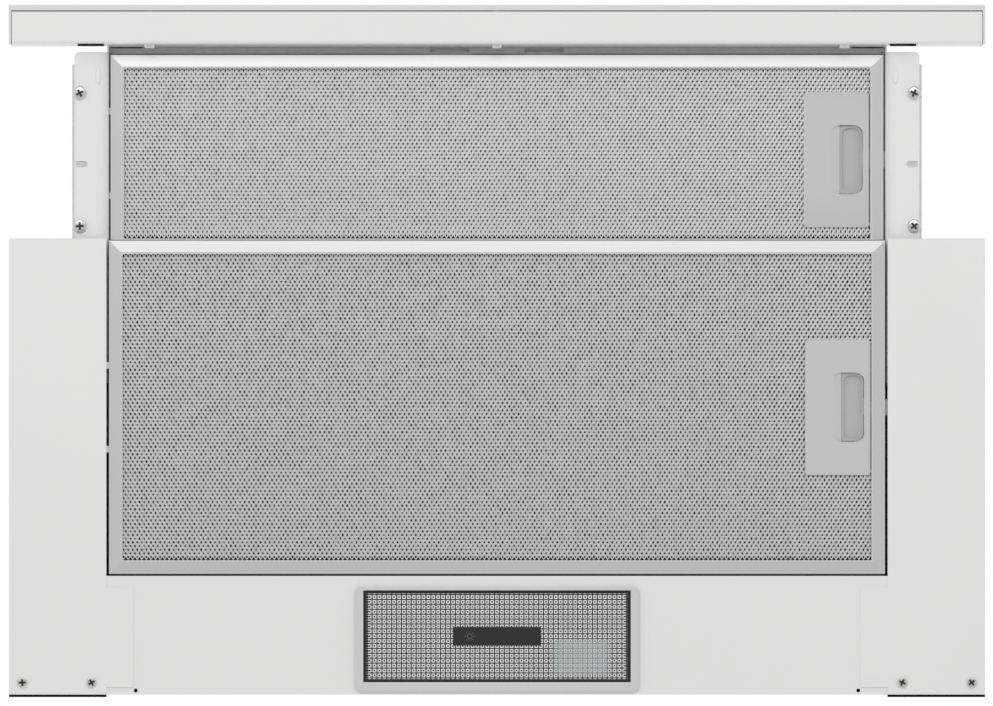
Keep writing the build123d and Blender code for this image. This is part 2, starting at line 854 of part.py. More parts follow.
def fixed_pivot_places():
    """Y of the fixed filter's two tabs."""
    middle = fixed_handle_y()
    return (middle - fixed_pivot_pitch / 2, middle + fixed_pivot_pitch / 2)


def drawer_pivot_places():
    """Y of the drawer filter's two tabs."""
    middle = sum(drawer_window_span()) / 2
    return (middle - drawer_pivot_pitch / 2, middle + drawer_pivot_pitch / 2)


class FilterPlan:
    """Sizes and places of one grease filter: its frame, handle, latch and springs."""

    def __init__(self, reach, span, bottom, rear_border, handle_y, pivot, stop_x):
        self.reach = reach
        self.span = span
        self.bottom = bottom
        self.handle_y = handle_y
        self.pivot_x, self.pivot_z, self.pivot_places = pivot
        self.window_x = (-reach + filter_border, reach - filter_border)
        self.window_y = (span[0] + filter_border, span[1] - rear_border)
        self.wide_rear = rear_border > filter_slope_width
        self.plate_x = (reach - plate_inset - plate_width, reach - plate_inset)
        self.plate_y = (handle_y - plate_length / 2, handle_y + plate_length / 2)
        self.recess_x = (reach - recess_inset - recess_width, reach - recess_inset)
        self.recess_y = (handle_y - recess_length / 2, handle_y + recess_length / 2)
        self.tip_x = stop_x - tongue_gap
        self.latch_z = (bottom + latch_lift, bottom + latch_lift + latch_thick)
        bar_end = self.recess_x[1] - latch_bar_inset
        self.bar_x = (bar_end - latch_bar, bar_end)
        self.lug_x = (self.plate_x[0] + lug_inset, self.plate_x[0] + lug_inset + lug_thick)
        self.plate_z = (bottom + mesh_lift - plate_thick, bottom + mesh_lift)
        self.cup_top = bottom + filter_height - cup_top_gap

    def slot_z(self):
        """Height of every slot that the latch runs through."""
        return (self.latch_z[0] - latch_play, self.latch_z[1] + latch_play)

    def tongue_slot(self, x):
        """Slot for the tongue between two x."""
        half = tongue_width / 2 + latch_play
        return block(x, (self.handle_y - half, self.handle_y + half), self.slot_z())

    def window_edges(self, ring):
        """Lowest edges of the window, without the rear one where the rim is thin."""
        low = ring.edges().filter_by(lambda edge: edge.center().Z < self.bottom + hairline)
        reach = self.window_x[1] + hairline
        front = self.window_y[0] - hairline
        back = self.window_y[1] + (hairline if self.wide_rear else -hairline)
        inside = [edge for edge in low if abs(edge.center().X) < reach]
        return [edge for edge in inside if front < edge.center().Y < back]

    def frame(self):
        """Border with a sloping face, two pivot tabs and the tongue's slot."""
        z = (self.bottom, self.bottom + filter_height)
        outer = block((-self.reach, self.reach), self.span, z)
        face = outer.faces().sort_by(Axis.Z)[0]
        edges = face.edges().sort_by(Axis.Y)
        sloped = edges if self.wide_rear else edges[:-1]
        outer = chamfer(sloped, filter_slope_width, filter_slope_rise, reference=face)
        ring = outer - block(self.window_x, self.window_y, z)
        ring = chamfer(self.window_edges(ring), filter_bevel)
        ring -= self.tongue_slot((self.window_x[1], self.reach))
        for y in self.pivot_places:
            low = (y - pivot_length / 2, y + pivot_length / 2)
            tab_z = (self.pivot_z - pivot_tab / 2, self.pivot_z + pivot_tab / 2)
            ring += block((self.pivot_x, -self.reach), low, tab_z)
            ring += rod((self.pivot_x, low[0], self.pivot_z), (0, 1, 0), pivot_bead, pivot_length)
        return ring

    def mesh(self):
        """Slab in the place of the layered expanded metal, cut away over the handle."""
        z = (self.bottom + mesh_lift, self.bottom + mesh_lift + mesh_thick)
        slab = block(self.window_x, self.window_y, z)
        cut_x = (self.plate_x[0] + plate_lap, self.window_x[1])
        cut_y = (self.plate_y[0] + plate_lap, self.plate_y[1] - plate_lap)
        return slab - block(cut_x, cut_y, z)

    def handle_plate(self):
        """Plate with a finger cup and ramp, slots for the latch and two spring lugs."""
        plate = plate_with_corners(self.plate_x, self.plate_y, self.plate_z, plate_corner)
        cup_x = (self.recess_x[0] - cup_wall, self.recess_x[1] + cup_wall)
        cup_y = (self.recess_y[0] - cup_wall, self.recess_y[1] + cup_wall)
        cup_z = (self.plate_z[0], self.cup_top)
        plate += plate_with_corners(cup_x, cup_y, cup_z, cup_corner + cup_wall)
        hollow_z = (self.plate_z[1], self.cup_top - cup_wall)
        plate -= plate_with_corners(self.recess_x, self.recess_y, hollow_z, cup_corner)
        plate -= plate_with_corners(self.recess_x, self.recess_y, self.plate_z, recess_radius)
        ramp_z = (self.plate_z[0], self.slot_z()[0])
        ramp_x = (self.recess_x[0], self.recess_x[0] + ramp_width)
        ramp = Polyline(
            (ramp_x[0], ramp_z[0]), (ramp_x[1], ramp_z[1] - slip), (ramp_x[1], ramp_z[1]),
            (ramp_x[0], ramp_z[1]), close=True,
        )
        front = Plane(origin=(0, self.recess_y[0], 0), x_dir=(1, 0, 0), z_dir=(0, -1, 0))
        plate += extrude(front * make_face(ramp), -recess_length)
        bar_slot = (self.bar_x[0] - latch_travel - latch_play, self.bar_x[1] + latch_play)
        plate -= block(bar_slot, cup_y, self.slot_z())
        plate -= self.tongue_slot((self.bar_x[1], cup_x[1]))
        for y in self.spring_places():
            lug_y = (y - arm_width / 2, y + arm_width / 2)
            plate += block(self.lug_x, lug_y, (self.plate_z[1], self.latch_z[1] + lug_rise))
        return plate

    def spring_places(self):
        """Y of the two latch springs."""
        return (self.handle_y - arm_offset, self.handle_y + arm_offset)

    def latch(self):
        """Slider: a dished finger pad in the cup, an arm to each spring and the tongue."""
        arm_end = arm_offset + arm_width / 2
        ends = (self.handle_y - arm_end, self.handle_y + arm_end)
        slider = block(self.bar_x, ends, self.latch_z)
        arm_x = (self.lug_x[1] + spring_length, self.bar_x[0])
        for y in self.spring_places():
            slider += block(arm_x, (y - arm_width / 2, y + arm_width / 2), self.latch_z)
        half = tongue_width / 2
        tongue_y = (self.handle_y - half, self.handle_y + half)
        slider += block((self.bar_x[1], self.tip_x), tongue_y, self.latch_z)
        pad_x = (self.recess_x[0] + latch_play, self.recess_x[1] - latch_play)
        pad_y = (self.recess_y[0] + latch_play, self.recess_y[1] - latch_play)
        pad = plate_with_corners(pad_x, pad_y, self.latch_z, recess_radius - latch_play)
        pad &= block((self.recess_x[0] + ramp_width, pad_x[1]), pad_y, self.latch_z)
        dish_x = (self.recess_x[0] + ramp_width + dish_rim, pad_x[1] - dish_rim)
        dish_y = (pad_y[0] + dish_rim, pad_y[1] - dish_rim)
        dish_z = (self.latch_z[0], self.latch_z[0] + dish_depth)
        return slider + pad - plate_with_corners(dish_x, dish_y, dish_z, recess_radius - dish_rim)

    def springs(self):
        """Two coils between the lugs and the latch's arms."""
        coils = []
        z = sum(self.latch_z) / 2
        inner = spring_length - 2 * spring_wire - 2 * hairline
        for y in self.spring_places():
            start = (self.lug_x[1] + spring_wire + hairline, y, z)
            path = Helix(inner / spring_turns, inner, spring_radius, center=start, direction=(1, 0, 0))
            section = Plane(path @ 0, z_dir=path % 0) * Circle(spring_wire)
            coils.append(sweep(section, path=path, is_frenet=True))
        return coils

    def write(self, name):
        """Write the filter's five nodes."""
        save(f"{name}_frame", self.frame())
        save(f"{name}_mesh", self.mesh())
        save(f"{name}_handle_plate", self.handle_plate())
        save(f"{name}_latch", self.latch())
        save(f"{name}_springs", self.springs())


# ---- Lamp ----
def bezel_span():
    """Front and back of the lamp's bezel."""
    back = body_back - bezel_setback
    return (back - bezel_length, back)


def lens_span():
    """Front and back of the lamp's cover."""
    back = body_back - lens_setback
    return (back - lens_length, back)


def lens_heights():
    """Bottom and top of the lamp's cover."""
    low = cover_top - bezel_proud + lens_recess
    return (low, low + lens_thick)


def lamp_bezel():
    """Raised frame around the lamp's cover."""
    half = bezel_width / 2
    low = cover_top - bezel_proud
    frame = plate_with_corners((-half, half), bezel_span(), (low, cover_top), bezel_radius)
    frame = chamfer(frame.faces().sort_by(Axis.Z)[0].edges(), bezel_bevel)
    window_x = lens_width / 2 + lens_gap
    window_y = (lens_span()[0] - lens_gap, lens_span()[1] + lens_gap)
    return frame - block((-window_x, window_x), window_y, (low, cover_top))


def lamp_box():
    """Inside of the lamp compartment as (low, high) pairs."""
    x = lens_width / 2 + lens_gap
    y = (lens_span()[0] - lens_gap, lens_span()[1] + lens_gap)
    return (-x, x), y, (cover_top, rear_panel_top + lamp_box_height)


def lamp_housing():
    """Open-bottomed reflector box on the rear panel."""
    x, y, z = lamp_box()
    wall = lamp_box_wall
    outer = block((x[0] - wall, x[1] + wall), (y[0] - wall, y[1] + wall), (z[0], z[1] + wall))
    return outer - block(x, y, z)


def lamp_axis():
    """Y and z of the bulb's axis."""
    y = lamp_box()[1][1] - bulb_radius - bulb_rear_gap
    z = lamp_box()[2][1] - bulb_radius - bulb_top_gap
    return y, z


def lamp_socket():
    """Screw socket on the compartment's right wall."""
    right = lamp_box()[0][1]
    y, z = lamp_axis()
    body = rod((right, y, z), (-1, 0, 0), socket_radius, socket_length)
    mouth = (right - socket_length, y, z)
    return body - rod(mouth, (1, 0, 0), bulb_base_radius + hairline, bulb_base_length)


def lamp_bulb():
    """Small bulb: screw base, neck and round-ended glass."""
    mouth = lamp_box()[0][1] - socket_length
    y, z = lamp_axis()
    start = (mouth + bulb_base_length - bulb_play, y, z)
    base = rod(start, (-1, 0, 0), bulb_base_radius, bulb_base_length)
    neck_start = mouth - bulb_play
    neck_plane = Plane((neck_start, y, z), z_dir=(-1, 0, 0))
    neck = extrude(neck_plane * Circle(bulb_base_radius), bulb_neck, taper=-bulb_neck_taper)
    glass_start = neck_start - bulb_neck
    glass = rod((glass_start, y, z), (-1, 0, 0), bulb_radius, bulb_length - bulb_radius)
    tip = Pos(glass_start - bulb_length + bulb_radius, y, z) * Sphere(bulb_radius)
    return base + neck + glass + tip


def lamp_cover():
    """Clear plate with a round rear edge to turn on and a clip at each short end."""
    half = lens_width / 2
    low, top = lens_heights()
    front, back = lens_span()
    radius = lens_thick / 2
    cover = block((-half, half), (front, back - radius), (low, top))
    cover += rod((-half, back - radius, low + radius), (1, 0, 0), radius, lens_width)
    middle = (front + back) / 2
    clip_y = (middle - clip_length / 2, middle + clip_length / 2)
    clip = block((half - clip_thick, half), clip_y, (top, top + clip_height))
    return cover + clip + other_side(clip)


def lamp_label():
    """Thin dark label under the middle of the lamp's cover."""
    low = lens_heights()[0]
    middle = sum(lens_span()) / 2
    y = (middle - label_length / 2, middle + label_length / 2)
    return block((-label_width / 2, label_width / 2), y, (low - label_thick, low))


# ---- Blower ----
def volute(extra, top):
    """Spiral of three quarter arcs that opens into an upward throat, in the YZ plane."""
    first = scroll_start + extra
    second = first + scroll_growth
    third = second + scroll_growth
    arcs = [
        CenterArc((0, 0), first, 90, 90),
        CenterArc((scroll_growth, 0), second, 180, 90),
        CenterArc((scroll_growth, scroll_growth), third, 270, 90),
    ]
    rear = scroll_growth + third
    front = throat_rear - scroll_throat - extra
    throat = Polyline((rear, scroll_growth), (rear, top), (front, top), (front, first), (0, first))
    upright = Plane((0, scroll_y, scroll_z), x_dir=(0, 1, 0), z_dir=(1, 0, 0))
    return upright * make_face([*arcs, throat])


def scroll_right():
    """Half of the fan scroll with its air inlet."""
    top = scroll_top - scroll_z
    outer = extrude(volute(scroll_wall, top), scroll_half_width + scroll_wall)
    inner = extrude(volute(0, top + scroll_wall), scroll_half_width)
    inlet = rod((0, scroll_y, scroll_z), (1, 0, 0), inlet_radius, scroll_half_width + 2 * scroll_wall)
    return outer - inner - inlet


def impeller():
    """Double-inlet drum: hub, middle disc, slanted blades and two rings."""
    centre = (scroll_y, scroll_z)
    half = impeller_width / 2
    drum = rod((-disc_thick / 2, *centre), (1, 0, 0), impeller_radius - disc_gap, disc_thick)
    drum += rod((-hub_length / 2, *centre), (1, 0, 0), hub_radius, hub_length)
    ring_outline = Circle(impeller_radius) - Circle(impeller_radius - blade_depth)
    for x in (-half, half - ring_width):
        drum += extrude(Plane((x, *centre), z_dir=(1, 0, 0)) * ring_outline, ring_width)
    middle_radius = impeller_radius - blade_depth / 2
    blade = Box(impeller_width - 2 * blade_sink, blade_depth - 2 * blade_sink, blade_thick)
    blade = Pos(0, middle_radius, 0) * Rot(blade_lean, 0, 0) * blade
    for number in range(blade_count):
        drum += Pos(0, *centre) * Rot(360 * number / blade_count, 0, 0) * blade
    return drum - rod((-half, *centre), (1, 0, 0), shaft_radius, impeller_width)


def motor_start():
    """X where the motor's can begins."""
    return scroll_half_width + scroll_wall + motor_plate


def motor_shaft():
    """Shaft from the impeller's hub into the motor."""
    start = -hub_length / 2
    length = motor_start() + motor_length - shaft_end_gap - start
    return rod((start, scroll_y, scroll_z), (1, 0, 0), shaft_radius, length)


def motor_bracket():
    """Three-armed plate over the scroll's right inlet."""
    x = scroll_half_width + scroll_wall
    plane = Plane((x, scroll_y, scroll_z), x_dir=(0, 1, 0), z_dir=(1, 0, 0))
    outline = Circle(inlet_radius + motor_ring_lap) - Circle(inlet_radius - motor_ring_inset)
    outline += Circle(motor_hub)
    reach = inlet_radius + motor_arm_reach
    for angle in (30, 150, 270):
        outline += Rot(0, 0, angle) * Pos(reach / 2, 0) * Rectangle(reach, motor_arm_width)
    outline -= Circle(shaft_radius + motor_shaft_gap)
    return extrude(plane * outline, motor_plate)


def motor_can():
    """Motor body with a bearing bore for the shaft."""
    start = (motor_start(), scroll_y, scroll_z)
    can = rod(start, (1, 0, 0), motor_radius, motor_length)
    can = fillet(can.edges().sort_by(Axis.X)[-1], motor_bend)
    return can - rod(start, (1, 0, 0), shaft_radius + hairline, motor_length - bore_end_wall)


def capacitor():
    """Motor capacitor on a foot on the housing's rear wall."""
    back = body_back - thick_sheet
    left = capacitor_inset - shell_x
    centre_y = back - capacitor_radius - capacitor_foot_gap
    can = rod((left, centre_y, capacitor_height), (1, 0, 0), capacitor_radius, capacitor_length)
    foot_x = (left + capacitor_foot_inset, left + capacitor_length - capacitor_foot_inset)
    half = capacitor_foot_height / 2
    return can + block(foot_x, (centre_y, back), (capacitor_height - half, capacitor_height + half))


def wiring_box_x():
    """Left and right of the wiring box."""
    right = shell_x - wiring_box_inset
    return (right - wiring_box_length, right)


def gland_place():
    """X and y of the supply cable's gland."""
    return (sum(wiring_box_x()) / 2, body_back - gland_setback)


def junction_box():
    """Closed wiring box on the housing's rear wall."""
    back = body_back - thick_sheet
    top = body_height - wiring_box_drop
    return block(wiring_box_x(), (back - wiring_box_depth, back), (top - wiring_box_height, top))


def cable_gland():
    """Threaded bush with a hexagonal collar through the housing's top, for the supply cord."""
    x, y = gland_place()
    low = (x, y, body_height - gland_drop)
    collar = extrude(Pos(x, y, body_height) * RegularPolygon(gland_collar, 6), gland_collar_thick)
    bush = rod(low, (0, 0, 1), gland_radius - hairline, gland_length)
    return collar + bush - rod(low, (0, 0, 1), gland_bore, gland_length)


# ---- Duct collar and its two flaps ----
def flap_axis_z():
    """Height of the flaps' hinge axes."""
    return body_height + flap_axis_height


def duct_collar():
    """Flanged round spigot for the duct."""
    base = (0, collar_y, body_height)
    collar = rod(base, (0, 0, 1), collar_flange_radius, collar_flange_thick)
    collar += rod(base, (0, 0, 1), collar_radius, collar_height)
    return collar - rod(base, (0, 0, 1), collar_radius - collar_wall, collar_height)


def flap_frame():
    """Ring inside the spigot: ledge under the flaps, crossbar and bosses for their pins."""
    inner = collar_radius - collar_wall - hairline
    ledge_top = flap_axis_z() - flap_thick / 2 - slip
    ledge = Circle(inner) - Circle(inner - flap_ledge)
    frame = extrude(Pos(0, collar_y, ledge_top - flap_ledge_thick) * ledge, flap_ledge_thick)
    bar_z = (ledge_top - crossbar_depth, flap_axis_z() + crossbar_up)
    bar = block((-crossbar_half, crossbar_half), (collar_y - inner, collar_y + inner), bar_z)
    boss_x = flap_axis_offset + flap_boss_half
    boss_z = (flap_axis_z() - flap_boss_down, flap_axis_z() + flap_boss_up)
    for side in (-1, 1):
        boss_y = sorted((collar_y + side * (inner - flap_boss), collar_y + side * inner))
        bar += block((-boss_x, boss_x), boss_y, boss_z)
    bore = rod((0, collar_y, body_height), (0, 0, 1), inner, collar_height)
    frame += bar & bore
    for x in (-flap_axis_offset, flap_axis_offset):
        start = (x, collar_y - inner, flap_axis_z())
        frame -= rod(start, (0, 1, 0), flap_pin + hairline, 2 * inner)
    return frame


def flap_right():
    """Half-disc flap with its barrel and two pins."""
    inner = collar_radius - collar_wall - hairline
    z = flap_axis_z()
    reach = inner - flap_gap
    disc = rod((0, collar_y, z - flap_thick / 2), (0, 0, 1), reach, flap_thick)
    room = (z - flap_swing_room, z + flap_swing_room)
    flap = disc & block((flap_axis_offset, inner), (collar_y - reach, collar_y + reach), room)
    boss_start = inner - flap_boss - slip
    boss_corner = sqrt(flap_boss_half**2 + flap_boss_up**2)
    corner_x = (0, flap_axis_offset + boss_corner + slip)
    for side in (-1, 1):
        corner_y = sorted((collar_y + side * boss_start, collar_y + side * inner))
        flap -= block(corner_x, corner_y, room)
    flap += rod((flap_axis_offset, collar_y - boss_start, z), (0, 1, 0), flap_barrel, 2 * boss_start)
    pin_reach = inner - slip
    return flap + rod((flap_axis_offset, collar_y - pin_reach, z), (0, 1, 0), flap_pin, 2 * pin_reach)


def main():
    """Write every node."""
    os.makedirs("parts", exist_ok=True)
    save("front_fascia", front_fascia())
    save("front_carrier", front_carrier())
    save("fascia_screws", fascia_screws())
    save("rubber_buffers", rubber_buffers())
    save("switch_bezel", switch_bezel())
    save("switch_housing", switch_housing())
    light, speed = knob_centres()
    save("light_knob", slide_knob(light, light_travel))
    save("speed_knob", slide_knob(speed, speed_travel))

    save("drawer_side_left", drawer_side_with_pivots())
    save("drawer_side_right", drawer_side_with_catch())
    save("drawer_front_wall", drawer_front_wall())
    save("drawer_top_deck", drawer_top_deck())
    save("drawer_rear_bar", drawer_rear_bar())
    save("rail_screws", rail_screws())

    for name, shape in (
        ("slide_moving", slide_moving_right()),
        ("slide_fixed", slide_fixed_right()),
        ("cabinet_bracket", cabinet_bracket_right()),
        ("scroll", scroll_right()),
        ("flap", flap_right()),
    ):
        save(f"{name}_right", shape)
        save(f"{name}_left", other_side(shape))
    cage = ball_cage_right()
    save("ball_cage_right", cage)
    save("ball_cage_left", [other_side(piece) for piece in cage])

    save("housing_shell", housing_shell())
    save("housing_feet", housing_feet())
    save("rear_panel", rear_panel())
    save("side_cover_right", side_cover_right())
    save("side_cover_left", side_cover_left())
    save("side_cover_screws", side_cover_screws())
    save("cover_seals", cover_seals())
    save("bracket_screws", bracket_screws())

    fixed_pivot = (-cover_x - sheet / 2, fixed_filter_bottom + fixed_pivot_lift, fixed_pivot_places())
    FilterPlan(
        reach=wall_x - fixed_filter_side_gap,
        span=fixed_filter_span(),
        bottom=fixed_filter_bottom,
        rear_border=filter_border,
        handle_y=fixed_handle_y(),
        pivot=fixed_pivot,
        stop_x=cover_x,
    ).write("fixed_filter")
    drawer_pivot = (-wall_x - rail_sheet / 2, drawer_filter_bottom + drawer_pivot_lift, drawer_pivot_places())
    FilterPlan(
        reach=wall_x - drawer_filter_side_gap,
        span=drawer_filter_span(),
        bottom=drawer_filter_bottom,
        rear_border=drawer_filter_rim,
        handle_y=drawer_handle_y(),
        pivot=drawer_pivot,
        stop_x=wall_x,
    ).write("drawer_filter")

    save("lamp_bezel", lamp_bezel())
    save("lamp_housing", lamp_housing())
    save("lamp_socket", lamp_socket())
    save("lamp_bulb", lamp_bulb())
    save("lamp_cover", lamp_cover())
    save("lamp_label", lamp_label())

    save("impeller", impeller())
    save("motor_shaft", motor_shaft())
    save("motor_bracket", motor_bracket())
    save("motor_can", motor_can())
    save("capacitor", capacitor())
    save("junction_box", junction_box())
    save("cable_gland", cable_gland())
    save("duct_collar", duct_collar())
    save("flap_frame", flap_frame())


main()
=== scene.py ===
"""Looks of a pull-out cabinet range hood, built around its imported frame."""

import logging
import math
from dataclasses import dataclass
from enum import Enum

import bmesh
import bpy
import numpy as np
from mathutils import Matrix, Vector


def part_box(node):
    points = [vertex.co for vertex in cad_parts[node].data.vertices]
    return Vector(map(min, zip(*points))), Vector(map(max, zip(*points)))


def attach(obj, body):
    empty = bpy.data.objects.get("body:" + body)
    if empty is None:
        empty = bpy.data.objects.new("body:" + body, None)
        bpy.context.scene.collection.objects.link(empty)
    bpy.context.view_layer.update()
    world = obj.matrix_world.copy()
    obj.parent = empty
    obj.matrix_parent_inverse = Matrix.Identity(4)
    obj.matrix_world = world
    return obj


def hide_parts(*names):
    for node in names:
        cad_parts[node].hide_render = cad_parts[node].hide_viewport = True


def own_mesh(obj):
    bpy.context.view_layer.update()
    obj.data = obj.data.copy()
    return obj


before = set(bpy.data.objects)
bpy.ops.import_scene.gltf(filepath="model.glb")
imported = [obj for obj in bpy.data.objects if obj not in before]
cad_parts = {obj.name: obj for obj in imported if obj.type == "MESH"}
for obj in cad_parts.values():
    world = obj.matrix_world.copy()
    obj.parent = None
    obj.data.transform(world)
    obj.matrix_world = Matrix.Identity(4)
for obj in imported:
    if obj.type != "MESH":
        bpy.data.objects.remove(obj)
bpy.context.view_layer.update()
MM = 0.001
LOG = logging.getLogger("range_hood")

Shape = tuple[np.ndarray, np.ndarray]
Triple = tuple[float, float, float]
DOWN = (0, 0, -1)
MERGE_DISTANCE = 1e-7
TURN = 2 * np.pi
FOLD_START = 1000.0


# ---------------------------------------------------------------- meshes
def triangles_object(
    name: str, points: np.ndarray, triangles: np.ndarray, smooth: bool = False
) -> bpy.types.Object:
    """Put points and triangles into a new object at the origin.

    Args:
        name: name of the object.
        points: (n, 3) places in metres.
        triangles: (m, 3) point numbers, anticlockwise seen from outside.
        smooth: whether faces are shaded smooth.

    Returns:
        The new object, linked to the scene.
    """
    mesh = bpy.data.meshes.new(name)
    count = len(triangles)
    mesh.vertices.add(len(points))
    mesh.vertices.foreach_set("co", np.ascontiguousarray(points, np.float32).ravel())
    mesh.loops.add(count * 3)
    mesh.loops.foreach_set("vertex_index", np.ascontiguousarray(triangles, np.int32).ravel())
    mesh.polygons.add(count)
    mesh.polygons.foreach_set("loop_start", np.arange(count, dtype=np.int32) * 3)
    mesh.polygons.foreach_set("use_smooth", np.full(count, smooth))
    mesh.update(calc_edges=True)
    mesh.validate()
    piece = bpy.data.objects.new(name, mesh)
    bpy.context.scene.collection.objects.link(piece)
    return piece


def grid_triangles(rows: int, columns: int, wrap: bool = False) -> np.ndarray:
    """Triangles of a rows by columns grid of points, two to each cell.

    Args:
        rows: number of rows of points.
        columns: number of points in a row.
        wrap: whether the last column joins the first.

    Returns:
        (m, 3) point numbers.
    """
    last = columns if wrap else columns - 1
    row, column = np.meshgrid(np.arange(rows - 1), np.arange(last), indexing="ij")
    here = (row * columns + column).ravel()
    side = (row * columns + (column + 1) % columns).ravel()
    above, across = here + columns, side + columns
    return np.concatenate([np.stack([here, side, across], 1), np.stack([here, across, above], 1)])


def joined(parts: list[Shape]) -> Shape:
    """Several (points, triangles) pairs as one pair."""
    starts = np.cumsum([0] + [len(points) for points, _ in parts[:-1]])
    triangles = [faces + start for (_, faces), start in zip(parts, starts)]
    return np.concatenate([points for points, _ in parts]), np.concatenate(triangles)


def corner(node: str) -> tuple[np.ndarray, np.ndarray]:
    """Lowest and highest corners of a CAD node as arrays."""
    low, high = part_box(node)
    return np.array(low), np.array(high)


def place_piece(piece: bpy.types.Object, body: str, node: str) -> None:
    """Ride a piece on a body, in place of a CAD node.

    Args:
        piece: the new piece.
        body: body that carries it.
        node: CAD node that it stands for.
    """
    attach(piece, body)
    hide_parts(node)


def math_node(tree: bpy.types.NodeTree, operation: str, *values: object) -> bpy.types.NodeSocket:
    """Add a Math node.

    Args:
        tree: node tree that gets it.
        operation: what it works out.
        values: a socket or a number for each of its inputs.

    Returns:
        Its output.
    """
    node = tree.nodes.new("ShaderNodeMath")
    node.operation = operation
    for number, value in enumerate(values):
        if isinstance(value, bpy.types.NodeSocket):
            tree.links.new(value, node.inputs[number])
        else:
            node.inputs[number].default_value = value
    return node.outputs[0]


# ---------------------------------------------------------------- finishes
class Grain(Enum):
    """How a finish's fine pattern lies."""

    EVEN = (1.0, 1.0, 1.0)


@dataclass(frozen=True)
class Finish:
    """A surface with fine grain in its colour, roughness and relief."""

    name: str
    colour: tuple[float, float, float]
    metallic: float = 0.0
    roughness: float = 0.4
    roughness_swing: float = 0.06
    colour_swing: float = 0.04
    grain_size_mm: float = 1.2
    grain: Grain = Grain.EVEN
    relief_mm: float = 0.01
    transmission: float = 0.0
    ior: float = 1.5
    coat: float = 0.0
    specular: float = 0.5
    coat_roughness: float = 0.12
    wide_scale: float = 9.0
    fine_share: float = 0.6
    colour_span: tuple[float, float] = (0.3, 0.7)
    bump_strength: float = 0.6

    def build(self) -> bpy.types.Material:
        """Make the material once and return it afterwards."""
        if self.name in bpy.data.materials:
            return bpy.data.materials[self.name]
        material = bpy.data.materials.new(self.name)
        material.use_nodes = True
        nodes, links = material.node_tree.nodes, material.node_tree.links
        shader = nodes["Principled BSDF"]
        shader.inputs["Metallic"].default_value = self.metallic
        shader.inputs["IOR"].default_value = self.ior
        shader.inputs["Transmission Weight"].default_value = self.transmission
        shader.inputs["Coat Weight"].default_value = self.coat
        shader.inputs["Specular IOR Level"].default_value = self.specular
        shader.inputs["Coat Roughness"].default_value = self.coat_roughness
        place = nodes.new("ShaderNodeTexCoord")
        mapping = nodes.new("ShaderNodeMapping")
        mapping.inputs["Scale"].default_value = self.grain.value
        links.new(place.outputs["Object"], mapping.inputs["Vector"])
        tree = material.node_tree
        noise = self._noise(tree, mapping, 1.0 / (self.grain_size_mm * MM), 3.0)
        wide = self._noise(tree, mapping, self.wide_scale, 2.0)
        self._colour(tree, shader, noise, wide)
        spread = nodes.new("ShaderNodeMapRange")
        spread.inputs["To Min"].default_value = self.roughness - self.roughness_swing
        spread.inputs["To Max"].default_value = self.roughness + self.roughness_swing
        links.new(wide.outputs["Fac"], spread.inputs["Value"])
        links.new(spread.outputs["Result"], shader.inputs["Roughness"])
        bump = nodes.new("ShaderNodeBump")
        bump.inputs["Distance"].default_value = self.relief_mm * MM
        bump.inputs["Strength"].default_value = self.bump_strength
        links.new(noise.outputs["Fac"], bump.inputs["Height"])
        links.new(bump.outputs["Normal"], shader.inputs["Normal"])
        return material

    def _noise(
        self, tree: bpy.types.NodeTree, mapping: bpy.types.Node, scale: float, detail: float
    ) -> bpy.types.Node:
        """Add a noise texture of a given scale."""
        noise = tree.nodes.new("ShaderNodeTexNoise")
        noise.inputs["Scale"].default_value = scale
        noise.inputs["Detail"].default_value = detail
        tree.links.new(mapping.outputs["Vector"], noise.inputs["Vector"])
        return noise

    def _colour(
        self, tree: bpy.types.NodeTree, shader: bpy.types.Node, noise: bpy.types.Node, wide: bpy.types.Node
    ) -> None:
        """Vary the colour a little with the fine and the wide noise."""
        dark = tuple(channel * (1 - self.colour_swing) for channel in self.colour)
        light = tuple(min(1.0, channel * (1 + self.colour_swing)) for channel in self.colour)
        half = math_node(tree, "MULTIPLY", wide.outputs["Fac"], 1 - self.fine_share)
        both = math_node(tree, "MULTIPLY_ADD", noise.outputs["Fac"], self.fine_share, half)
        ramp = tree.nodes.new("ShaderNodeValToRGB")
        for stop, position, colour in zip(ramp.color_ramp.elements, self.colour_span, (dark, light)):
            stop.position = position
            stop.color = (*colour, 1.0)
        tree.links.new(both, ramp.inputs["Fac"])
        tree.links.new(ramp.outputs["Color"], shader.inputs["Base Color"])

    def dress(self, *pieces: bpy.types.Object) -> None:
        """Give every piece this finish alone."""
        material = self.build()
        for piece in pieces:
            piece.data.materials.clear()
            piece.data.materials.append(material)

    def dress_nodes(self, *names: str) -> None:
        """Give CAD nodes this finish in each of their material slots."""
        material = self.build()
        for name in names:
            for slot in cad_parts[name].material_slots:
                slot.material = material


WHITE_PAINT = Finish("white_powder_coat", (0.80, 0.80, 0.796), roughness=0.42, colour_swing=0.012,
                     grain_size_mm=0.7, relief_mm=0.006, coat=0.15)
# A darker copy of the white paint: painted shade on the front fascia.
SHADED_PANEL_PAINT = Finish("shaded_panel_powder_coat", (0.70, 0.70, 0.697), roughness=0.36, colour_swing=0.01,
                     grain_size_mm=0.7, relief_mm=0.006, coat=0.2)
WHITE_MOULDING = Finish("white_moulding", (0.76, 0.76, 0.757), roughness=0.34, colour_swing=0.01,
                        grain_size_mm=0.5, relief_mm=0.003)
BEZEL_MOULDING = Finish("bezel_moulding", (0.62, 0.62, 0.62), roughness=0.3, colour_swing=0.01,
                        grain_size_mm=0.5, relief_mm=0.003)
ZINC = Finish("zinc_sheet", (0.70, 0.70, 0.70), metallic=1.0, roughness=0.42, roughness_swing=0.1,
              colour_swing=0.10, grain_size_mm=5.0, relief_mm=0.008)
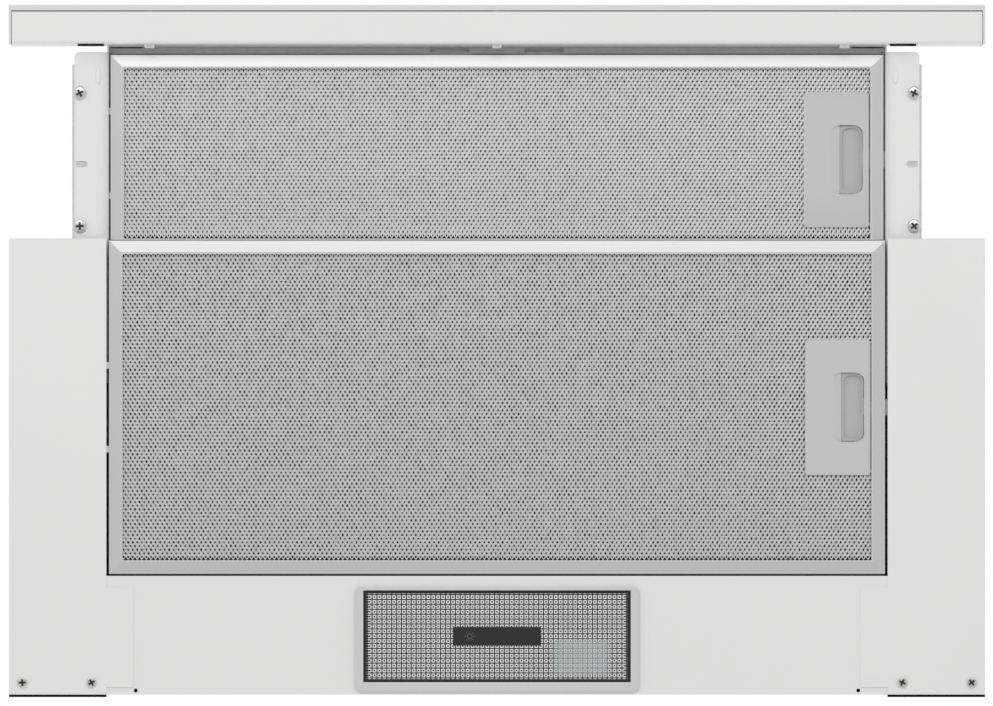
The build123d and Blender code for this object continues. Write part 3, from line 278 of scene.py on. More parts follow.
# Darker and duller than ZINC. On the drawer's front wall the darker colour is painted shade; the lamp
# housing uses it as dull zinc.
DULL_AND_SHADED_ZINC = Finish("dull_and_shaded_zinc_sheet", (0.58, 0.58, 0.585), metallic=0.8, roughness=0.5, colour_swing=0.10,
                   grain_size_mm=5.0, relief_mm=0.008)
BRIGHT_ZINC = Finish("bright_zinc_screw", (0.70, 0.70, 0.69), metallic=1.0, roughness=0.24,
                     colour_swing=0.06, grain_size_mm=0.4, relief_mm=0.004)
# Near-black prisms in the screws' cross recesses: painted shade.
SOCKET_SHADE = Finish("screw_socket_painted_shade", (0.03, 0.03, 0.03), metallic=0.6, roughness=0.5, grain_size_mm=0.4)
FRAME_ALUMINIUM = Finish("rolled_aluminium", (0.74, 0.74, 0.74), metallic=1.0, roughness=0.33,
                         roughness_swing=0.04, colour_swing=0.02, grain_size_mm=0.6, relief_mm=0.003)
STRAND_ALUMINIUM = Finish("expanded_aluminium", (0.99, 0.99, 0.99), metallic=1.0, roughness=0.18,
                          roughness_swing=0.08, colour_swing=0.08, grain_size_mm=2.4, relief_mm=0.015)
HANDLE_GREY = Finish("handle_grey", (0.58, 0.58, 0.58), roughness=0.45, colour_swing=0.012,
                     grain_size_mm=0.4, relief_mm=0.006)
# Darker than the handle grey: painted shade of the latch sunk in its recess.
SHADED_LATCH_GREY = Finish("shaded_latch_grey", (0.47, 0.47, 0.47), roughness=0.45, colour_swing=0.012,
                    grain_size_mm=0.4, relief_mm=0.006)
BLACK_FOAM = Finish("black_foam", (0.008, 0.008, 0.008), roughness=0.95, grain_size_mm=0.6,
                    relief_mm=0.12, colour_swing=0.3, specular=0.1)
BLACK_MOULDING = Finish("black_moulding", (0.02, 0.02, 0.021), roughness=0.45, grain_size_mm=0.4,
                        relief_mm=0.008, colour_swing=0.1, specular=0.35)
DARK_STEEL = Finish("dark_steel", (0.16, 0.16, 0.17), metallic=0.7, roughness=0.45, grain_size_mm=1.0)
SCROLL_GREY = Finish("scroll_grey", (0.09, 0.09, 0.095), roughness=0.5, grain_size_mm=0.6, relief_mm=0.01)
CAPACITOR_CASE = Finish("capacitor_case", (0.7, 0.7, 0.67), roughness=0.35, grain_size_mm=0.8)
# Black of the lamp's printed label; also the near-black frame round the lens, which is painted shade of the
# gap and clips.
LABEL_AND_GAP_SHADE_BLACK = Finish("label_black", (0.004, 0.004, 0.005), roughness=0.5, grain_size_mm=0.3,
                     relief_mm=0.004, specular=0.05)
SYMBOL_GREY = Finish("symbol_grey", (0.10, 0.10, 0.105), roughness=0.4, grain_size_mm=0.3)
BULB_GLASS = Finish("bulb_glass", (0.80, 0.90, 0.86), roughness=0.3, colour_swing=0.01, grain_size_mm=2.0,
                    relief_mm=0.002, transmission=0.2)
PALE_FLOOR = Finish("pale_floor", (0.62, 0.62, 0.62), roughness=0.8, colour_swing=0.01, grain_size_mm=40.0)


@dataclass(frozen=True)
class PaintedShadeFilterCore:
    """Packed inner layers of a grease filter: small random patches from black to mid grey.
    The layers are real; their darkness is painted shade inside the filter.
    """

    name: str = "filter_core_painted_shade"
    patch_mm: float = 1.5
    dark: float = 0.002
    light: float = 0.08

    def build(self) -> bpy.types.Material:
        """Colour from a cell pattern."""
        if self.name in bpy.data.materials:
            return bpy.data.materials[self.name]
        material = bpy.data.materials.new(self.name)
        material.use_nodes = True
        nodes, links = material.node_tree.nodes, material.node_tree.links
        shader = nodes["Principled BSDF"]
        shader.inputs["Metallic"].default_value = 0.3
        shader.inputs["Roughness"].default_value = 0.7
        shader.inputs["Specular IOR Level"].default_value = 0.1
        place = nodes.new("ShaderNodeTexCoord")
        cells = nodes.new("ShaderNodeTexVoronoi")
        cells.inputs["Scale"].default_value = 1.0 / (self.patch_mm * MM)
        ramp = nodes.new("ShaderNodeValToRGB")
        ramp.color_ramp.elements[0].color = (self.dark, self.dark, self.dark, 1.0)
        ramp.color_ramp.elements[1].color = (self.light, self.light, self.light, 1.0)
        ramp.color_ramp.elements[0].position = 0.45
        ramp.color_ramp.elements[1].position = 1.0
        links.new(place.outputs["Object"], cells.inputs["Vector"])
        links.new(cells.outputs["Color"], ramp.inputs["Fac"])
        links.new(ramp.outputs["Color"], shader.inputs["Base Color"])
        return material


@dataclass(frozen=True)
class PrismPlasticPaintedLight:
    """Clear ribbed plastic over a dull reflector.

    Each square of the lens is painted with a dark dot in its middle, a pale ring round it and dark edges:
    painted highlight and shade of the prisms.
    The shade depends on the larger of the two distances from the square's middle.
    Near the bulb the colour is mixed towards a pale tint: the bulb's glass seen through the lens, painted
    on.
    """

    name: str = "prism_plastic_painted_light"
    pitch: float = 3.0 * MM
    start: tuple[float, float] = (0.0, 0.0)
    bulb: tuple[float, float, float, float] = (0.0, 0.0, 1.0, 1.0)
    painted_bulb_tint: tuple[float, float, float] = (0.52, 0.60, 0.585)
    shades: tuple[tuple[float, float], ...] = (
        (0.0, 0.003), (0.12, 0.004), (0.17, 0.55), (0.25, 0.92), (0.34, 0.92), (0.40, 0.13), (0.44, 0.01))
    cool: float = 1.005
    bulb_edge: float = 0.7
    painted_bulb_strength: float = 0.78

    def build(self) -> bpy.types.Material:
        """Make the material with its squares laid out from the start point."""
        material = bpy.data.materials.new(self.name)
        material.use_nodes = True
        nodes, links = material.node_tree.nodes, material.node_tree.links
        shader = nodes["Principled BSDF"]
        shader.inputs["Roughness"].default_value = 0.16
        shader.inputs["IOR"].default_value = 1.49
        shader.inputs["Transmission Weight"].default_value = 0.15
        shader.inputs["Specular IOR Level"].default_value = 0.2
        place = nodes.new("ShaderNodeTexCoord")
        parts = nodes.new("ShaderNodeSeparateXYZ")
        links.new(place.outputs["Object"], parts.inputs[0])
        tree = material.node_tree
        distances = []
        for number, axis in enumerate("XY"):
            shift = FOLD_START - self.start[number] / self.pitch
            scaled = math_node(tree, "MULTIPLY_ADD", parts.outputs[axis], 1.0 / self.pitch, shift)
            centred = math_node(tree, "SUBTRACT", math_node(tree, "FRACT", scaled), 0.5)
            distances.append(math_node(tree, "ABSOLUTE", centred))
        larger = math_node(tree, "MAXIMUM", *distances)
        # Painted highlight and shade of the prisms: dark dot, pale ring, dark edges.
        ramp = nodes.new("ShaderNodeValToRGB")
        stops = ramp.color_ramp.elements
        while len(stops) < len(self.shades):
            stops.new(0.5)
        for stop, (position, shade) in zip(stops, self.shades):
            stop.position = position
            stop.color = (shade, shade * self.cool, shade * self.cool, 1.0)
        links.new(larger, ramp.inputs["Fac"])
        # Painted bulb glass seen through the lens, mixed in near the bulb.
        mix = nodes.new("ShaderNodeMix")
        mix.data_type = "RGBA"
        links.new(self.painted_bulb_share(material, parts), mix.inputs["Factor"])
        links.new(ramp.outputs["Color"], mix.inputs["A"])
        mix.inputs["B"].default_value = (*self.painted_bulb_tint, 1.0)
        links.new(mix.outputs["Result"], shader.inputs["Base Color"])
        return material

    def painted_bulb_share(self, material: bpy.types.Material, parts: bpy.types.Node) -> bpy.types.NodeSocket:
        """How much of the bulb's glass shows through at a point, painted into the lens's colour as a pale
        tint.

        Args:
            material: the lens's material.
            parts: node that gives x and y.

        Returns:
            Socket that is 0.6 inside the bulb's outline and falls to 0 at its edge.
        """
        tree = material.node_tree
        shares = []
        for axis, middle, half in (("X", self.bulb[0], self.bulb[2]), ("Y", self.bulb[1], self.bulb[3])):
            offset = math_node(tree, "SUBTRACT", parts.outputs[axis], middle)
            fade = tree.nodes.new("ShaderNodeMapRange")
            fade.inputs["From Min"].default_value = half
            fade.inputs["From Max"].default_value = half * self.bulb_edge
            fade.inputs["To Max"].default_value = self.painted_bulb_strength
            tree.links.new(math_node(tree, "ABSOLUTE", offset), fade.inputs["Value"])
            shares.append(fade.outputs["Result"])
        return math_node(tree, "MULTIPLY", *shares)


# ---------------------------------------------------------------- grease filters
@dataclass
class ExpandedMesh:
    """Sheet of expanded metal: staggered upright oval holes in diamond cells.

    Each cell is a diamond whose four corners are bond points at one height. Its hole's upper end
    is pressed into the filter and its lower end stands proud, so the strands between holes are
    tilted. A short wall runs up from each hole's edge.
    """

    body: str
    mesh_node: str
    plate_node: str
    parts: int
    hole_half: tuple[float, float]
    pitch: float = 2.8 * MM
    row: float = 2.25 * MM
    pressed: float = 0.36 * MM
    proud: float = 0.26 * MM
    curl: tuple[float, float] = (0.17 * MM, 0.11 * MM)
    wall: float = 1.0 * MM
    wobble: float = 0.17
    plate_lap: float = 3.0 * MM
    plate_margin: float = 1.2
    edge_share: float = 0.2
    seed: int = 5

    def centres(self) -> np.ndarray:
        """Middles of the holes inside the frame and clear of the handle plate."""
        low, high = corner(self.mesh_node)
        plate_low, plate_high = corner(self.plate_node)
        columns = int((high[0] - low[0]) / self.pitch) + 1
        rows = int((high[1] - low[1]) / self.row) + 1
        row, column = np.meshgrid(np.arange(rows), np.arange(columns), indexing="ij")
        x = low[0] + (column + 0.5 * (row % 2)) * self.pitch + self.edge_share * self.pitch
        y = low[1] + (row + 0.5) * self.row
        inside = (x < high[0]) & (y < high[1])
        margin = self.plate_margin * self.pitch
        behind = (x > plate_low[0] + margin) & (y > plate_low[1] + margin)
        behind &= y < plate_high[1] - margin
        keep = inside & ~behind
        return np.stack([x[keep], y[keep]], 1)

    def cells(self, centres: np.ndarray) -> Shape:
        """Points and triangles of the cells around the given middles.

        Args:
            centres: (n, 2) middles of the holes.

        Returns:
            Points and triangles.
        """
        base = corner(self.mesh_node)[0][2] + self.proud
        wide, tall = self.hole_half
        side = self.pitch / 2
        outer = np.array([[side, 0, 0], [0, self.row, 0], [-side, 0, 0], [0, -self.row, 0]])
        hole = np.array([
            [0.85 * wide, -0.42 * tall, -0.55 * self.proud], [wide, 0.35 * tall, 0.45 * self.pressed],
            [0.1 * wide, tall, self.pressed], [-wide, 0.45 * tall, 0.5 * self.pressed],
            [-0.9 * wide, -0.38 * tall, -0.5 * self.proud], [-0.15 * wide, -0.95 * tall, -self.proud],
        ])
        random = np.random.default_rng(self.seed)
        scale = 1 + self.wobble * random.uniform(-1, 1, (len(centres), 1, 3))
        middle = np.concatenate([centres, np.full((len(centres), 1), base)], 1)[:, None, :]
        rim = middle + hole[None] * scale
        inward = (rim - middle) * np.array([1.0, 1.0, 0.0])
        inward /= np.linalg.norm(inward, axis=2, keepdims=True)
        lip = rim - inward * self.curl[0] + np.array([0.0, 0.0, self.curl[1]])
        deep = lip * 1.0
        deep[:, :, 2] = base + self.wall
        points = np.concatenate([middle + outer[None], rim, lip, deep], 1)
        ring = [(0, 1, 5), (1, 6, 5), (1, 2, 7), (1, 7, 6), (2, 3, 8), (2, 8, 7), (3, 9, 8), (3, 0, 4),
                (3, 4, 9), (0, 5, 4)]
        faces = [triangle[::-1] for triangle in ring]
        for level in (4, 10):
            for k in range(6):
                here, there = level + k, level + (k + 1) % 6
                faces += [(here, here + 6, there + 6), (here, there + 6, there)]
        template = np.array(faces)
        starts = np.arange(len(centres))[:, None, None] * points.shape[1]
        return points.reshape(-1, 3), (template[None] + starts).reshape(-1, 3)

    def build(self) -> None:
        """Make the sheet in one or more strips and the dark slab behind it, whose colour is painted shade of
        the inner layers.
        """
        centres = self.centres()
        order = np.argsort(centres[:, 0])
        for number, part in enumerate(np.array_split(order, self.parts)):
            points, faces = self.cells(centres[part])
            piece = triangles_object(f"{self.mesh_node}_sheet_{number}", points, faces)
            STRAND_ALUMINIUM.dress(piece)
            place_piece(piece, self.body, self.mesh_node)
            LOG.info("%s: %d triangles", piece.name, len(faces))
        self.core()

    def core(self) -> None:
        """Closed flat slab just above the sheet's walls, with a notch for the handle's cup. Its dark colour
        is painted shade of the filter's inner layers.
        """
        low, high = corner(self.mesh_node)
        plate_low, plate_high = corner(self.plate_node)
        z = (low[2] + self.proud + self.wall * 0.9, high[2])
        notch_x = plate_low[0] + self.plate_lap
        notch_y = (plate_low[1] + self.plate_lap, plate_high[1] - self.plate_lap)
        ring = np.array([
            [low[0], low[1]], [notch_x, low[1]], [high[0], low[1]], [high[0], notch_y[0]],
            [notch_x, notch_y[0]], [notch_x, notch_y[1]], [high[0], notch_y[1]], [high[0], high[1]],
            [notch_x, high[1]], [low[0], high[1]],
        ])
        count = len(ring)
        points = np.concatenate([np.column_stack([ring, np.full(count, height)]) for height in z])
        cap = np.array([
            [0, 1, 4], [1, 2, 3], [1, 3, 4], [0, 4, 5], [0, 5, 9], [5, 8, 9], [5, 6, 7], [5, 7, 8]])
        faces = np.concatenate([grid_triangles(2, count, wrap=True), cap[:, ::-1], cap + count])
        piece = triangles_object(f"{self.mesh_node}_core", points, faces)
        # Near-black patches: painted shade of the filter's inner layers.
        piece.data.materials.append(PaintedShadeFilterCore().build())
        place_piece(piece, self.body, self.mesh_node)


@dataclass
class GreaseFilter:
    """One grease filter: bordered frame, expanded mesh, handle plate, latch and its springs."""

    name: str
    parts: int
    hole_half: tuple[float, float]
    wire: float = 0.25 * MM
    coil_turns: int = 6
    wire_sides: int = 8
    coil_steps: int = 145

    def build(self) -> None:
        """Dress the CAD pieces and make the mesh and the springs."""
        FRAME_ALUMINIUM.dress_nodes(f"{self.name}_frame")
        HANDLE_GREY.dress_nodes(f"{self.name}_handle_plate")
        # The latch's darker grey is painted shade of its recess.
        SHADED_LATCH_GREY.dress_nodes(f"{self.name}_latch")
        mesh, plate = f"{self.name}_mesh", f"{self.name}_handle_plate"
        ExpandedMesh(self.name, mesh, plate, self.parts, self.hole_half).build()
        self.springs()
        LOG.info("%s dressed", self.name)

    def springs(self) -> None:
        """Two wire coils; each is a tube along a helix."""
        low, high = corner(f"{self.name}_springs")
        wire, around, along = self.wire, self.wire_sides, self.coil_steps
        radius = (high[2] - low[2]) / 2 - wire
        coils = []
        for middle_y in (low[1] + radius + wire, high[1] - radius - wire):
            angle = np.linspace(0, TURN * self.coil_turns, along)[:, None]
            lean = np.linspace(0, TURN, around, endpoint=False)[None]
            distance = radius + wire * np.cos(lean)
            x = np.linspace(low[0] + wire, high[0] - wire, along)[:, None] + wire * np.sin(lean)
            y = middle_y + distance * np.sin(angle)
            z = (low[2] + high[2]) / 2 + distance * np.cos(angle)
            points = np.stack([x, y, z], 2).reshape(-1, 3)
            ends = np.stack([points[:around].mean(0), points[-around:].mean(0)])
            count = len(points)
            turn = np.arange(around)
            after = (turn + 1) % around
            first = np.stack([np.full(around, count), after, turn], 1)
            tail = count - around
            last = np.stack([np.full(around, count + 1), tail + turn, tail + after], 1)
            coils.append((np.concatenate([points, ends]),
                          np.concatenate([grid_triangles(along, around, wrap=True), first, last])))
        piece = triangles_object(f"{self.name}_coils", *joined(coils), smooth=True)
        BRIGHT_ZINC.dress(piece)
        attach(piece, self.name)
        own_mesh(piece)
        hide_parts(f"{self.name}_springs")


# ---------------------------------------------------------------- screws
@dataclass
class CrossHeadScrews:
    """Screw heads seen face on: a domed disc with a cross-shaped socket and, if told, a washer.

    A head is a polar grid. Its height falls off with the square of the distance from the middle,
    and drops by the socket's depth where the point lies in one of the two crossed bars.
    """

    node: str
    body: str
    head_radius: float
    places: list[Triple]
    proud: float
    washer_radius: float = 0.0
    washer_thick: float = 0.5 * MM
    socket_half: float = 0.55 * MM
    socket_reach: float = 0.62
    socket_depth: float = 1.1 * MM
    rings: int = 22
    spokes: int = 64
    first_spin: float = 0.5
    spin_step: float = 1.1

    def head(self) -> Shape:
        """Points and triangles of one head around +Z, its seat at zero."""
        reach = np.concatenate([np.linspace(0.02, 0.93, self.rings), [0.985, 1.0, 1.0]])[:, None]
        angle = np.linspace(0, TURN, self.spokes, endpoint=False)[None]
        x = self.head_radius * reach * np.cos(angle)
        y = self.head_radius * reach * np.sin(angle)
        thick = self.proud - (self.washer_thick if self.washer_radius else 0)
        seat = self.proud - thick
        dome = seat + thick * (1 - 0.38 * reach**2 - 0.25 * np.clip(reach - 0.9, 0, 1) / 0.1)
        bar = self.head_radius * self.socket_reach
        upright = (np.abs(x) < self.socket_half) & (np.abs(y) < bar)
        level = (np.abs(y) < self.socket_half) & (np.abs(x) < bar)
        crossed = upright | level
        depth = min(self.socket_depth, 0.7 * thick)
        z = dome - depth * crossed
        z[-1] = 0.0
        points = np.stack([x, y, np.broadcast_to(z, x.shape)], 2).reshape(-1, 3)
        faces = grid_triangles(len(reach), self.spokes, wrap=True)[:, ::-1]
        middle = np.array([[0, 0, dome[0].item() - depth]])
        turn = np.arange(self.spokes)
        cap = np.stack([np.full(self.spokes, len(points)), turn, (turn + 1) % self.spokes], 1)
        parts = [(np.concatenate([points, middle]), np.concatenate([faces, cap]))]
        if self.washer_radius:
            parts.append(self.washer())
        return joined(parts)

    def washer(self) -> Shape:
        """Flat ring under the head with a rounded edge."""
        outer = self.washer_radius
        radii = np.array([0.5 * self.head_radius, 0.94 * outer, outer, outer])
        heights = np.array([1.0, 1.0, 0.6, 0.0]) * self.washer_thick
        angle = np.linspace(0, TURN, self.spokes, endpoint=False)[None]
        x, y = radii[:, None] * np.cos(angle), radii[:, None] * np.sin(angle)
        z = np.broadcast_to(heights[:, None], x.shape)
        points = np.stack([x, y, z], 2).reshape(-1, 3)
        return points, grid_triangles(4, self.spokes, wrap=True)[:, ::-1]

    def socket(self) -> Shape:
        """Cross-shaped prism at the bottom of the socket, coloured near-black: painted shade of the recess.
        """
        half, reach = self.socket_half, self.head_radius * self.socket_reach
        outline = np.array([
            [half, half], [half, reach], [-half, reach], [-half, half], [-reach, half], [-reach, -half],
            [-half, -half], [-half, -reach], [half, -reach], [half, -half], [reach, -half], [reach, half],
        ])
        levels = (0.35 * self.proud, 0.72 * self.proud)
        points = np.concatenate([np.column_stack([outline, np.full(12, z)]) for z in levels])
        quads = np.array([[0, 3, 6, 9], [0, 1, 2, 3], [3, 4, 5, 6], [6, 7, 8, 9], [9, 10, 11, 0]])
        cap = np.concatenate([quads[:, [0, 1, 2]], quads[:, [0, 2, 3]]])
        return points, np.concatenate([grid_triangles(2, 12, wrap=True), cap[:, ::-1], cap + 12])

    def placed(self, shape: Shape) -> Shape:
        """Copies of a shape turned to face down, one at each place.

        Args:
            shape: points and triangles around +Z.

        Returns:
            Points and triangles of all the copies.
        """
        normal = np.array(DOWN, float)
        side = np.array([1.0, 0.0, 0.0])
        turn = np.stack([side, np.cross(normal, side), normal])
        points, faces = shape
        copies = []
        for number, place in enumerate(self.places):
            spin = self.first_spin + self.spin_step * number
            wheel = np.array([
                [math.cos(spin), math.sin(spin), 0], [-math.sin(spin), math.cos(spin), 0], [0, 0, 1]])
            copies.append((points @ wheel @ turn + np.array(place), faces))
        return joined(copies)

    def build(self) -> None:
        """Make the heads as one piece and, as another, the near-black prisms in their cross recesses, which
        are painted shade.
        """
        kinds = (("heads", self.head(), BRIGHT_ZINC), ("socket_shades", self.socket(), SOCKET_SHADE))
        for label, shape, finish in kinds:
            piece = triangles_object(f"{self.node}_{label}", *self.placed(shape))
            recalculate_normals(piece)
            finish.dress(piece)
            place_piece(piece, self.body, self.node)
        LOG.info("%s: %d heads", self.node, len(self.places))


def recalculate_normals(piece: bpy.types.Object) -> None:
    """Merge doubles and point a piece's faces outwards."""
    work = bmesh.new()
    work.from_mesh(piece.data)
    bmesh.ops.remove_doubles(work, verts=work.verts, dist=MERGE_DISTANCE)
    bmesh.ops.recalc_face_normals(work, faces=work.faces)
    work.to_mesh(piece.data)
    work.free()


# ---------------------------------------------------------------- lamp
@dataclass
class Lamp:
    """Lamp cover with a grid of small lenses, its dark label, bezel, reflector and bulb."""

    pitch: float = 3.0 * MM
    groove: float = 0.28 * MM
    dimple: float = 0.22 * MM
    plate: float = 2.0 * MM
    rim: float = 1.4 * MM
    lens_drop: float = 0.12 * MM
    tooth: tuple[float, float] = (1.7 * MM, 1.5 * MM)
    painted_bulb_share: tuple[float, float] = (0.58, 1.0)
    steps: int = 6
    groove_start: float = 0.45
    dimple_end: float = 0.1
    symbol_share: float = 0.19
    symbol_radius: float = 1.7 * MM
    symbol_steps: int = 48
    symbol_rays: int = 8
    symbol_lift: float = 0.02 * MM
    ray_half: float = 0.22 * MM

    def build(self) -> None:
        """Dress the CAD pieces and make the cover and the symbol on its label."""
        BEZEL_MOULDING.dress_nodes("lamp_bezel")
        DULL_AND_SHADED_ZINC.dress_nodes("lamp_housing")
        BLACK_MOULDING.dress_nodes("lamp_socket")
        BULB_GLASS.dress_nodes("lamp_bulb")
        LABEL_AND_GAP_SHADE_BLACK.dress_nodes("lamp_label")
        self.lens()
        self.gap_shade_frame()
        self.symbol()
        LOG.info("lamp dressed")

    def lens(self) -> None:
        """Plate of square lenses inside the dark frame of painted gap shade.

        The outer face is one grid. Its depth depends on the larger of the two distances from the
        square's middle: a dimple near the middle, a flat ring, and a groove at the square's edge.
        """
        low, high = corner("lamp_cover")
        size = high[:2] - low[:2] - 2 * self.rim
        counts = np.floor(size / self.pitch).astype(int)
        start = (low[:2] + high[:2] - counts * self.pitch) / 2
        steps = self.steps
        axes = [start[k] + np.arange(counts[k] * steps + 1) * self.pitch / steps for k in (0, 1)]
        axes = [np.concatenate([[low[k] + self.rim], axes[k], [high[k] - self.rim]]) for k in (0, 1)]
        grid_x, grid_y = np.meshgrid(*axes, indexing="ij")
        folded = [np.abs(((grid - first) / self.pitch) % 1.0 - 0.5)
                  for grid, first in ((grid_x, start[0]), (grid_y, start[1]))]
        distance = np.maximum(*folded)
        depth = self.groove * (distance > self.groove_start) + self.dimple * (distance < self.dimple_end)
        face = np.stack([grid_x, grid_y, low[2] + self.lens_drop + depth], 2).reshape(-1, 3)
        height = np.full(grid_x.shape, low[2] + self.plate)
        back = np.stack([grid_x, grid_y, height], 2).reshape(-1, 3)
        grid = grid_triangles(len(axes[0]), len(axes[1]))
        numbers = np.arange(len(face)).reshape(grid_x.shape)
        loop = np.concatenate([numbers[:, 0], numbers[-1, 1:], numbers[-2::-1, -1], numbers[0, -2:0:-1]])
        after = np.roll(loop, -1)
        count = len(face)
        sides = np.concatenate([np.stack([loop, after, after + count], 1),
                                np.stack([loop, after + count, loop + count], 1)])
        faces = np.concatenate([grid[:, ::-1], grid + count, sides])
        piece = triangles_object("lamp_cover_lens", np.concatenate([face, back]), faces)
        recalculate_normals(piece)
        # Outline on the lens where the bulb's glass, seen through it, is painted on as a pale tint.
        glass_low, glass_high = corner("lamp_bulb")
        half = (glass_high - glass_low)[:2] / 2 * np.array(self.painted_bulb_share)
        middle = (glass_high[0] - half[0], (glass_low[1] + glass_high[1]) / 2)
        plastic = PrismPlasticPaintedLight(pitch=self.pitch, start=tuple(start), bulb=(*middle, half[0], half[1]))
        piece.data.materials.append(plastic.build())
        place_piece(piece, "lamp_cover", "lamp_cover")

    def gap_shade_frame(self) -> None:
        """Dark square-section frame round the lens, with a row of teeth at each short end: painted shade of
        the gap and the clip arms round the lens.
        """
        low, high = corner("lamp_cover")
        z = (low[2], low[2] + self.plate)
        rings = []
        for inset, level in ((0, z[0]), (self.rim, z[0]), (self.rim, z[1]), (0, z[1]), (0, z[0])):
            x, y = (low[0] + inset, high[0] - inset), (low[1] + inset, high[1] - inset)
            corners = ((x[0], y[0]), (x[1], y[0]), (x[1], y[1]), (x[0], y[1]))
            rings.append([[*point, level] for point in corners])
        parts = [(np.array(rings).reshape(-1, 3), grid_triangles(5, 4, wrap=True))]
        count = int((high[1] - low[1] - 2 * self.rim) / self.pitch)
        first = (low[1] + high[1] - (count - 1) * self.pitch) / 2
        for side in (-1, 1):
            edge = high[0] - self.rim if side > 0 else low[0] + self.rim
            for number in range(count):
                middle = first + number * self.pitch
                parts.append(wedge(edge, -side * self.tooth[0], middle, self.tooth[1], z))
        piece = triangles_object("lamp_cover_gap_shade_frame", *joined(parts))
        recalculate_normals(piece)
        # Near-black: painted shade of the gap and clips round the lens.
        LABEL_AND_GAP_SHADE_BLACK.dress(piece)
        place_piece(piece, "lamp_cover", "lamp_cover")

    def symbol(self) -> None:
        """Plain sun sign on the label: a ring with eight rays."""
        low, high = corner("lamp_label")
        across = low[0] + self.symbol_share * (high[0] - low[0])
        centre = np.array([across, (low[1] + high[1]) / 2])
        radius, count, rays = self.symbol_radius, self.symbol_steps, self.symbol_rays
        angle = np.linspace(0, TURN, count, endpoint=False)
        z = low[2] - self.symbol_lift
        circle = np.stack([np.cos(angle), np.sin(angle)], 1)
        ring = np.concatenate([
            np.column_stack([centre + circle * r, np.full(count, z)]) for r in (radius, radius * 0.72)])
        parts = [(ring, grid_triangles(2, count, wrap=True))]
        for number in range(rays):
            turn = number * TURN / rays
            along = np.array([math.cos(turn), math.sin(turn)])
            side = np.array([-along[1], along[0]]) * self.ray_half
            reach = (radius * 1.35, radius * 1.95)
            ray = np.array([centre + along * r + s for r in reach for s in (-side, side)])
            parts.append((np.column_stack([ray, np.full(4, z)]), np.array([[0, 1, 3], [0, 3, 2]])))
        piece = triangles_object("lamp_label_symbol", *joined(parts))
        SYMBOL_GREY.dress(piece)
        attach(piece, "lamp_cover")


def wedge(edge: float, reach: float, middle: float, width: float, z: tuple[float, float]) -> Shape:
    """Tapered tooth that stands out from an edge along X.

    Args:
        edge: x of its root.
        reach: signed length along x.
        middle: its y.
        width: its width at the root.
        z: its lowest and highest z.

    Returns:
        Points and triangles.
    """
    half = width / 2
    outline = np.array([[edge, middle - half], [edge + reach, middle - half / 3],
                        [edge + reach, middle + half / 3], [edge, middle + half]])
    points = np.concatenate([np.column_stack([outline, np.full(4, level)]) for level in z])
    caps = np.array([[0, 2, 1], [0, 3, 2], [4, 5, 6], [4, 6, 7]])
    return points, np.concatenate([grid_triangles(2, 4, wrap=True), caps])


# ---------------------------------------------------------------- body and drawer
@dataclass
class Body:
    """Housing, covers, brackets and everything inside, as CAD pieces with their finishes."""

    screw_radius: float = 3.35 * MM
    screw_gap: float = 42.4 * MM
    screw_proud: float = 1.2 * MM

    def build(self) -> None:
        """Dress each piece."""
        WHITE_PAINT.dress_nodes("housing_shell", "rear_panel", "side_cover_left", "side_cover_right")
        ZINC.dress_nodes("housing_feet", "cabinet_bracket_left", "cabinet_bracket_right", "slide_fixed_left",
                         "slide_fixed_right", "motor_bracket")
        BRIGHT_ZINC.dress_nodes("bracket_screws", "ball_cage_left", "ball_cage_right", "motor_shaft")
        BLACK_FOAM.dress_nodes("cover_seals")
        BLACK_MOULDING.dress_nodes("duct_collar", "flap_frame", "flap_left", "flap_right", "cable_gland",
                                   "junction_box", "impeller")
        SCROLL_GREY.dress_nodes("scroll_left", "scroll_right")
        DARK_STEEL.dress_nodes("motor_can")
        CAPACITOR_CASE.dress_nodes("capacitor")
        low, high = corner("side_cover_screws")
        radius = self.screw_radius
        outer, y = high[0] - radius, (low[1] + high[1]) / 2
        inner = outer - self.screw_gap
        seat = low[2] + self.screw_proud
        places = [(side * x, y, seat) for side in (-1, 1) for x in (inner, outer)]
        CrossHeadScrews("side_cover_screws", "housing", radius, places, self.screw_proud).build()
        LOG.info("body dressed")


